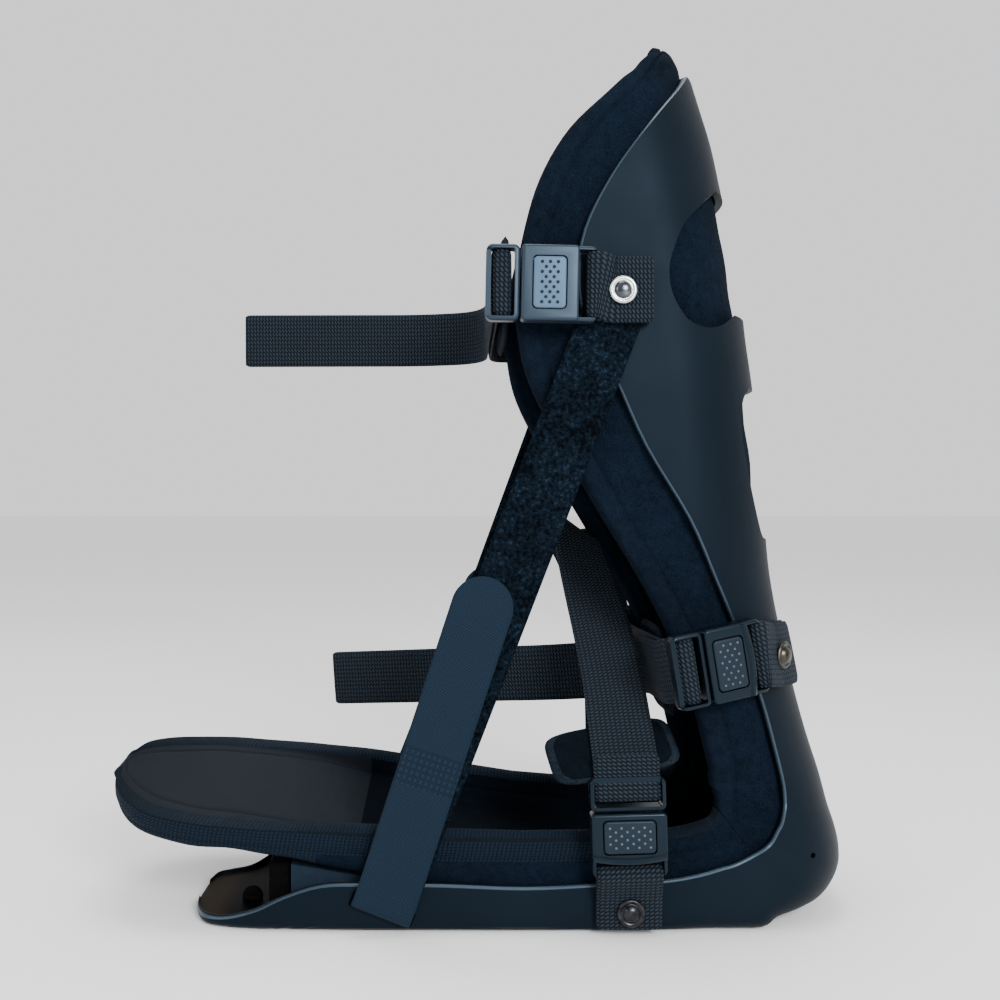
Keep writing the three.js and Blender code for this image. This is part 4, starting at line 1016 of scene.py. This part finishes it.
m = PLACES["ankle"]["m"]
across_local = across_buckle(m)
if across_local[2] < 0:
    across_local = -across_local
slope = wall_slope(1)
corners = [V(-0.49, 1.12, 0.235), V(0.2, 0.42, 0.259), V(0.36, 0.22, 0.268), (CROSS - 2, 0, 96.6),
           (CROSS - 2, -37, 98.7), (CROSS - 2, -44, 99.7), world(m, 10.4, -3.6)]
radius = [0, 25, 10, 8, 0, 2, 1]
corners += local_path(m, IN) + [world(m, 8.6, -3.4)]
radius += IN_RADIUS
corners += [(CROSS, -44, 99.7), (CROSS, -37, 99.7), (CROSS - 3.3, 43, 99), (CROSS - 1.3, 51.5, 102.8)]
radius += [2, 0, 8, 4]
wall = [wall_point(ANKLE_Z, k * 50, 1.3, 1) for k in (1.0, 0.9, 0.8, 0.7, 0.6, 0.48, 0.39, 0.3, 0.21, 0.135)]
corners += wall
radius += [2] * (len(wall) - 1) + [0]
UPRIGHT = np.array([0, 0, 1.0])
seen = []


def ankle_across(p):
    # The path runs towards -Y until it turns in the frame, then towards +Y.
    seen.append(p[1] < -50)
    a, b, t = across_local, UPRIGHT, (p[1] / 50 - 0.52) / 0.3
    if not any(seen):
        t = (CROSS - 3.9 - p[0]) / 13
    elif p[1] > 40 and p[0] > CROSS:
        a, b, t = UPRIGHT, slope, (p[0] - CROSS) / 16
    t = clamp(t)
    return (1 - t) * a + t * b


ankle_strap = web_band("ankle_strap_dressed", corners, radius, ankle_across)

# Instep strap
m = PLACES["instep"]["m"]
v_dir = across_buckle(m)
corners = [world(m, 21.4, 3.4), world(m, 18, 3.5)] + local_path(m, UP)
radius = [0, 2, 2, 1.5, 1.5, 1.2, 1.2, 1, 0.8, 0.6, 0.8, 1.5, 2]
corners += [V(0.336, -1.05, 0.195), V(0.33, -0.35, 0.295), V(0.263, 0.6, 0.456), V(0.238, 1.02, 0.454),
            V(0.335, 1.13, 0.392), V(0.4, 1.135, 0.305), V(0.41, 1.13, 0.1), V(0.41, 1.13, 0.01)]
radius += [12, 30, 12, 8, 14, 20, 20, 0]


def instep_across(p):
    if p[1] < -20:
        t = 0
    elif p[1] > 45:
        t = 1 - clamp((138 - p[2]) / 31)
    else:
        t = clamp((p[1] / 50 + 0.2) / 0.8)
    return (1 - t) * v_dir + t * np.array([-0.8, 0, 0.6])


instep_strap = web_band("instep_strap_dressed", corners, radius, instep_across)


# Anchors
def anchor(key, over, under, width_dir=None):
    """Webbing over the buckle's bar and back under itself. width_dir: its width away from the buckle."""
    place = PLACES[key]
    m, bar = place["m"], -place["body"] - place["arm"] + 1.1
    fold = [(bar - 2, 5.3), (bar, 5.4), (bar + 1.6, 5.1), (bar + 2.4, 3.9), (bar + 2.4, 2.2), (bar + 1.6, 1),
            (bar, 0.65), (bar - 2, 0.35)]
    pts = [*over, *local_path(m, fold), *under]
    a = across_buckle(m)
    b = a if width_dir is None else width_dir * (1 if np.dot(width_dir, a) > 0 else -1)
    centre = world(m, bar, 3)

    def across(p):
        t = clamp((np.linalg.norm(p - centre) - 4) / 10)
        return (1 - t) * a + t * b

    radius = [0] + [1.5] * (len(pts) - 2) + [0]
    return web_band(key + "_anchor_dressed", pts, radius, across)


def calf_at(r, n):
    return (RIVET_AT[0] + r * RIVET, -50 - n, 247.54)


calf_anchor = anchor("calf", [calf_at(2.19, 5.0), calf_at(1.22, 5.0), calf_at(-0.722, 5.1)],
                     [calf_at(-0.722, 3.1), calf_at(1.22, 3.1), calf_at(2.19, 3.1)], np.array([0.3, 0, 0.95]))
# Points of the ankle anchor round the shell, from the rivet, in rivet radii
ks = (-1.22, -0.806, -0.389, 0.028, 0.389)
ankle_anchor = anchor("ankle", [wall_point(ANKLE_Z, RIVET_Q + k * RIVET, 3.7, -1) for k in ks],
                      [wall_point(ANKLE_Z, RIVET_Q + k * RIVET, 1.5, -1) for k in reversed(ks)], wall_slope(-1))


def instep_at(z, n):
    return (51.75, -50 - n, z * 345)


instep_anchor = anchor("instep", [instep_at(0.008, 3.4), instep_at(0.03, 3.4), instep_at(0.045, 4.2)],
                       [instep_at(0.045, 2.2), instep_at(0.03, 1.5), instep_at(0.008, 1.5)])


# Pads: soft blocks, fuller in the middle, with a stitched ridge round their edge
def pad(name, span, width, m):
    thick, nu, nv = 5.8, 40, 32
    verts, faces, slots = [], [], []
    for face in (1, -1):
        for i in range(nu + 1):
            for j in range(nv + 1):
                u, v = -1 + 2 * i / nu, -1 + 2 * j / nv
                k = (abs(u) ** 5 + abs(v) ** 5) ** 0.2
                f = max(abs(u), abs(v))
                if k > 1e-6:
                    u, v = u / k * f, v / k * f
                g = max(1 - f**3.5, 0) ** 0.5
                ridge = -0.5 * math.exp(-(((f - 0.86) / 0.04) ** 2))
                h = thick / 2 * g + (ridge if f < 0.985 else 0)
                h += 0.18 * math.sin(9 * u + face) * math.cos(7 * v) * g
                verts.append((face * max(h, 0.0), u * span / 2, v * width / 2))
    n = (nu + 1) * (nv + 1)
    for s, base in ((0, 0), (1, n)):
        for i in range(nu):
            for j in range(nv):
                a = base + i * (nv + 1) + j
                faces.append((a, a + 1, a + nv + 2, a + nv + 1))
                f = max(abs(-1 + 2 * (i + 0.5) / nu), abs(-1 + 2 * (j + 0.5) / nv))
                # The band round the edge takes the lighter cloth: painted highlight.
                slots.append(1 if f > 0.9 else 0)
    o = make(name, verts, faces, [PAD, PAD_EDGE_HIGHLIGHT], slots)
    close_up(o.data, 0.00002)
    return put(o, m)


def turn(angle, axis):
    return Matrix.Rotation(angle, 4, axis)


calf_pad = pad("calf_pad_dressed", 67.5, 44.4, Matrix.Translation((1.45 + 1.15 + 3, 0, 254.3)))
ankle_pad = pad("ankle_pad_dressed", 47.5, 39.2,
                Matrix.Translation((CROSS + 4.35, 0, 95.6)) @ turn(math.atan2(-0.17, 0.985), "Y"))
# Under the instep strap where it comes down: how steep, how far under it, how far down it, how askew
RISE, UNDER, DOWN_BY, TILT = math.atan2(34.5, 35), 0.75 + 0.7 + 3, 7, -0.21
middle = (46.5, -42.5 + UNDER * math.sin(RISE), 77.1 - UNDER * math.cos(RISE))
instep_pad = pad("instep_pad_dressed", 23.7, 51.5,
                 Matrix.Translation(middle) @ turn(RISE, "X") @ Matrix.Translation((0, -DOWN_BY, 0))
                 @ turn(math.pi / 2, "Y") @ turn(TILT, "X"))


# Rivets
CROWN = 7  # the first seven steps of the outline are the ring, the others the dome
DOME = [(RIVET - 0.5, 0), (RIVET, 0.25), (RIVET, 0.55), (RIVET - 0.35, 0.95), (RIVET - 0.9, 1.12),
        (RIVET - 1.35, 1.0), (RIVET - 1.6, 0.8),
        (3.45, 0.85), (3.2, 1.3), (2.75, 1.8), (2.1, 2.25), (1.3, 2.5), (0.6, 2.58), (0.05, 2.6)]
rivets = {}
for key, x, lift, z, side, mat in (
    ("calf_rivet_near", 48.9, 6.65, 247.02, -1, CHROME),
    ("calf_rivet_far", 48.9, 7.4, 247.02, 1, CHROME),
    ("foot_rivet_near", 52.2, 5.05, 9.49, -1, DARK_CHROME),
    ("foot_rivet_far", 61.5, 7.65, 9.49, 1, DARK_CHROME),
):
    rivets[key] = o = lathe(key + "_dressed", DOME, mat, (x, side * (50 + lift), z), (0, side, 0))
    if mat is CHROME:
        # The dome takes the darker metal: painted reflection.
        o.data.materials.append(DOME_DARK_REFLECTION)
        for face in o.data.polygons:
            face.material_index = 1 if CROWN * AROUND <= face.index < (len(DOME) - 1) * AROUND else 0
for side in (-1, 1):
    lift = (3.9 if side < 0 else 1.4) + 0.75 + 0.8
    p, a, b = [wall_point(ANKLE_Z, q, lift, side) for q in (RIVET_Q, RIVET_Q - 1, RIVET_Q + 1)]
    t = unit(b - a)
    out = np.array([-t[1], t[0], 0])
    out = out if out[1] * side > 0 else -out
    key = "ankle_rivet_" + ("near" if side < 0 else "far")
    rivets[key] = lathe(key + "_dressed", DOME, BRONZE, tuple(p), tuple(out))


# Which node each piece stands for

def own(o, node):
    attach(o, "root")
    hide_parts(node)


for slot_name, pieces in (
    ("shell_plastic", dict(shell=shell)),
    ("hook_black", dict(hook_block=hook, toe_stud=stud)),
    ("loop_cloth", dict(tension_strap_near=tension_near, tension_strap_far=tension_far)),
    ("webbing", dict(calf_strap=calf_strap, ankle_strap=ankle_strap, instep_strap=instep_strap,
                     calf_anchor=calf_anchor, ankle_anchor=ankle_anchor, instep_anchor=instep_anchor)),
):
    for node, o in pieces.items():
        own(o, node)
for o, node, slot_name, fill in (
    (calf_liner, "calf_liner", "liner_cloth", 0.7), (foot_liner, "foot_liner", "liner_cloth", 0.7),
    (calf_pad, "calf_pad", "liner_cloth", 0.6), (ankle_pad, "ankle_pad", "liner_cloth", 0.6),
    (instep_pad, "instep_pad", "liner_cloth", 0.6), (wedge, "toe_wedge", "foam_grey", 1.0),
):
    own(o, node)
for key, parts in buckles.items():
    for name, o in parts.items():
        own(o, "%s_buckle_%s" % (key, name))
for key, o in rivets.items():
    own(o, key)


# Floor, light and camera

FOCAL = 1056 / 1000  # focal length as a share of the picture's width
pale = Look("floor_white")
pale.set(Base_Color=(0.9, 0.9, 0.9, 1), Roughness=0.9, Specular_IOR_Level=0.1)
bpy.ops.mesh.primitive_plane_add(size=30, location=(0, 0, -0.0005))
floor = bpy.context.object
floor.name = "studio_floor"
floor.data.materials.append(pale.material)

world_settings = bpy.data.worlds.new("studio")
bpy.context.scene.world = world_settings
world_settings.use_nodes = True
backdrop = world_settings.node_tree.nodes["Background"].inputs
backdrop[0].default_value = (1, 1, 1, 1)
backdrop[1].default_value = 1.15


def area(name, at, aim, size, power):
    light = bpy.data.lights.new(name, "AREA")
    light.shape = "RECTANGLE"
    light.size, light.size_y = size
    light.energy = power
    o = bpy.data.objects.new(name, light)
    bpy.context.scene.collection.objects.link(o)
    o.location = at
    o.rotation_euler = (Vector(aim) - Vector(at)).to_track_quat("-Z", "Y").to_euler()


area("key", (0.4, -1.05, 0.6), (0, 0, 0.16), (0.4, 0.4), 19)
area("fill", (-1.2, -0.7, 0.55), (0, 0, 0.16), (0.6, 0.6), 5)
area("top", (0.0, 0.1, 1.3), (0, 0, 0.1), (0.6, 0.5), 7)

camera = bpy.data.cameras.new("main")
camera.sensor_width = 36
camera.lens = FOCAL * 36
camera.shift_x = 0.045
camera.shift_y = 0.005
view = bpy.data.objects.new("main", camera)
bpy.context.scene.collection.objects.link(view)
view.location = (-0.015, -0.458, 0.1652)
view.rotation_euler = (math.pi / 2, 0, 0)
bpy.context.scene.camera = view
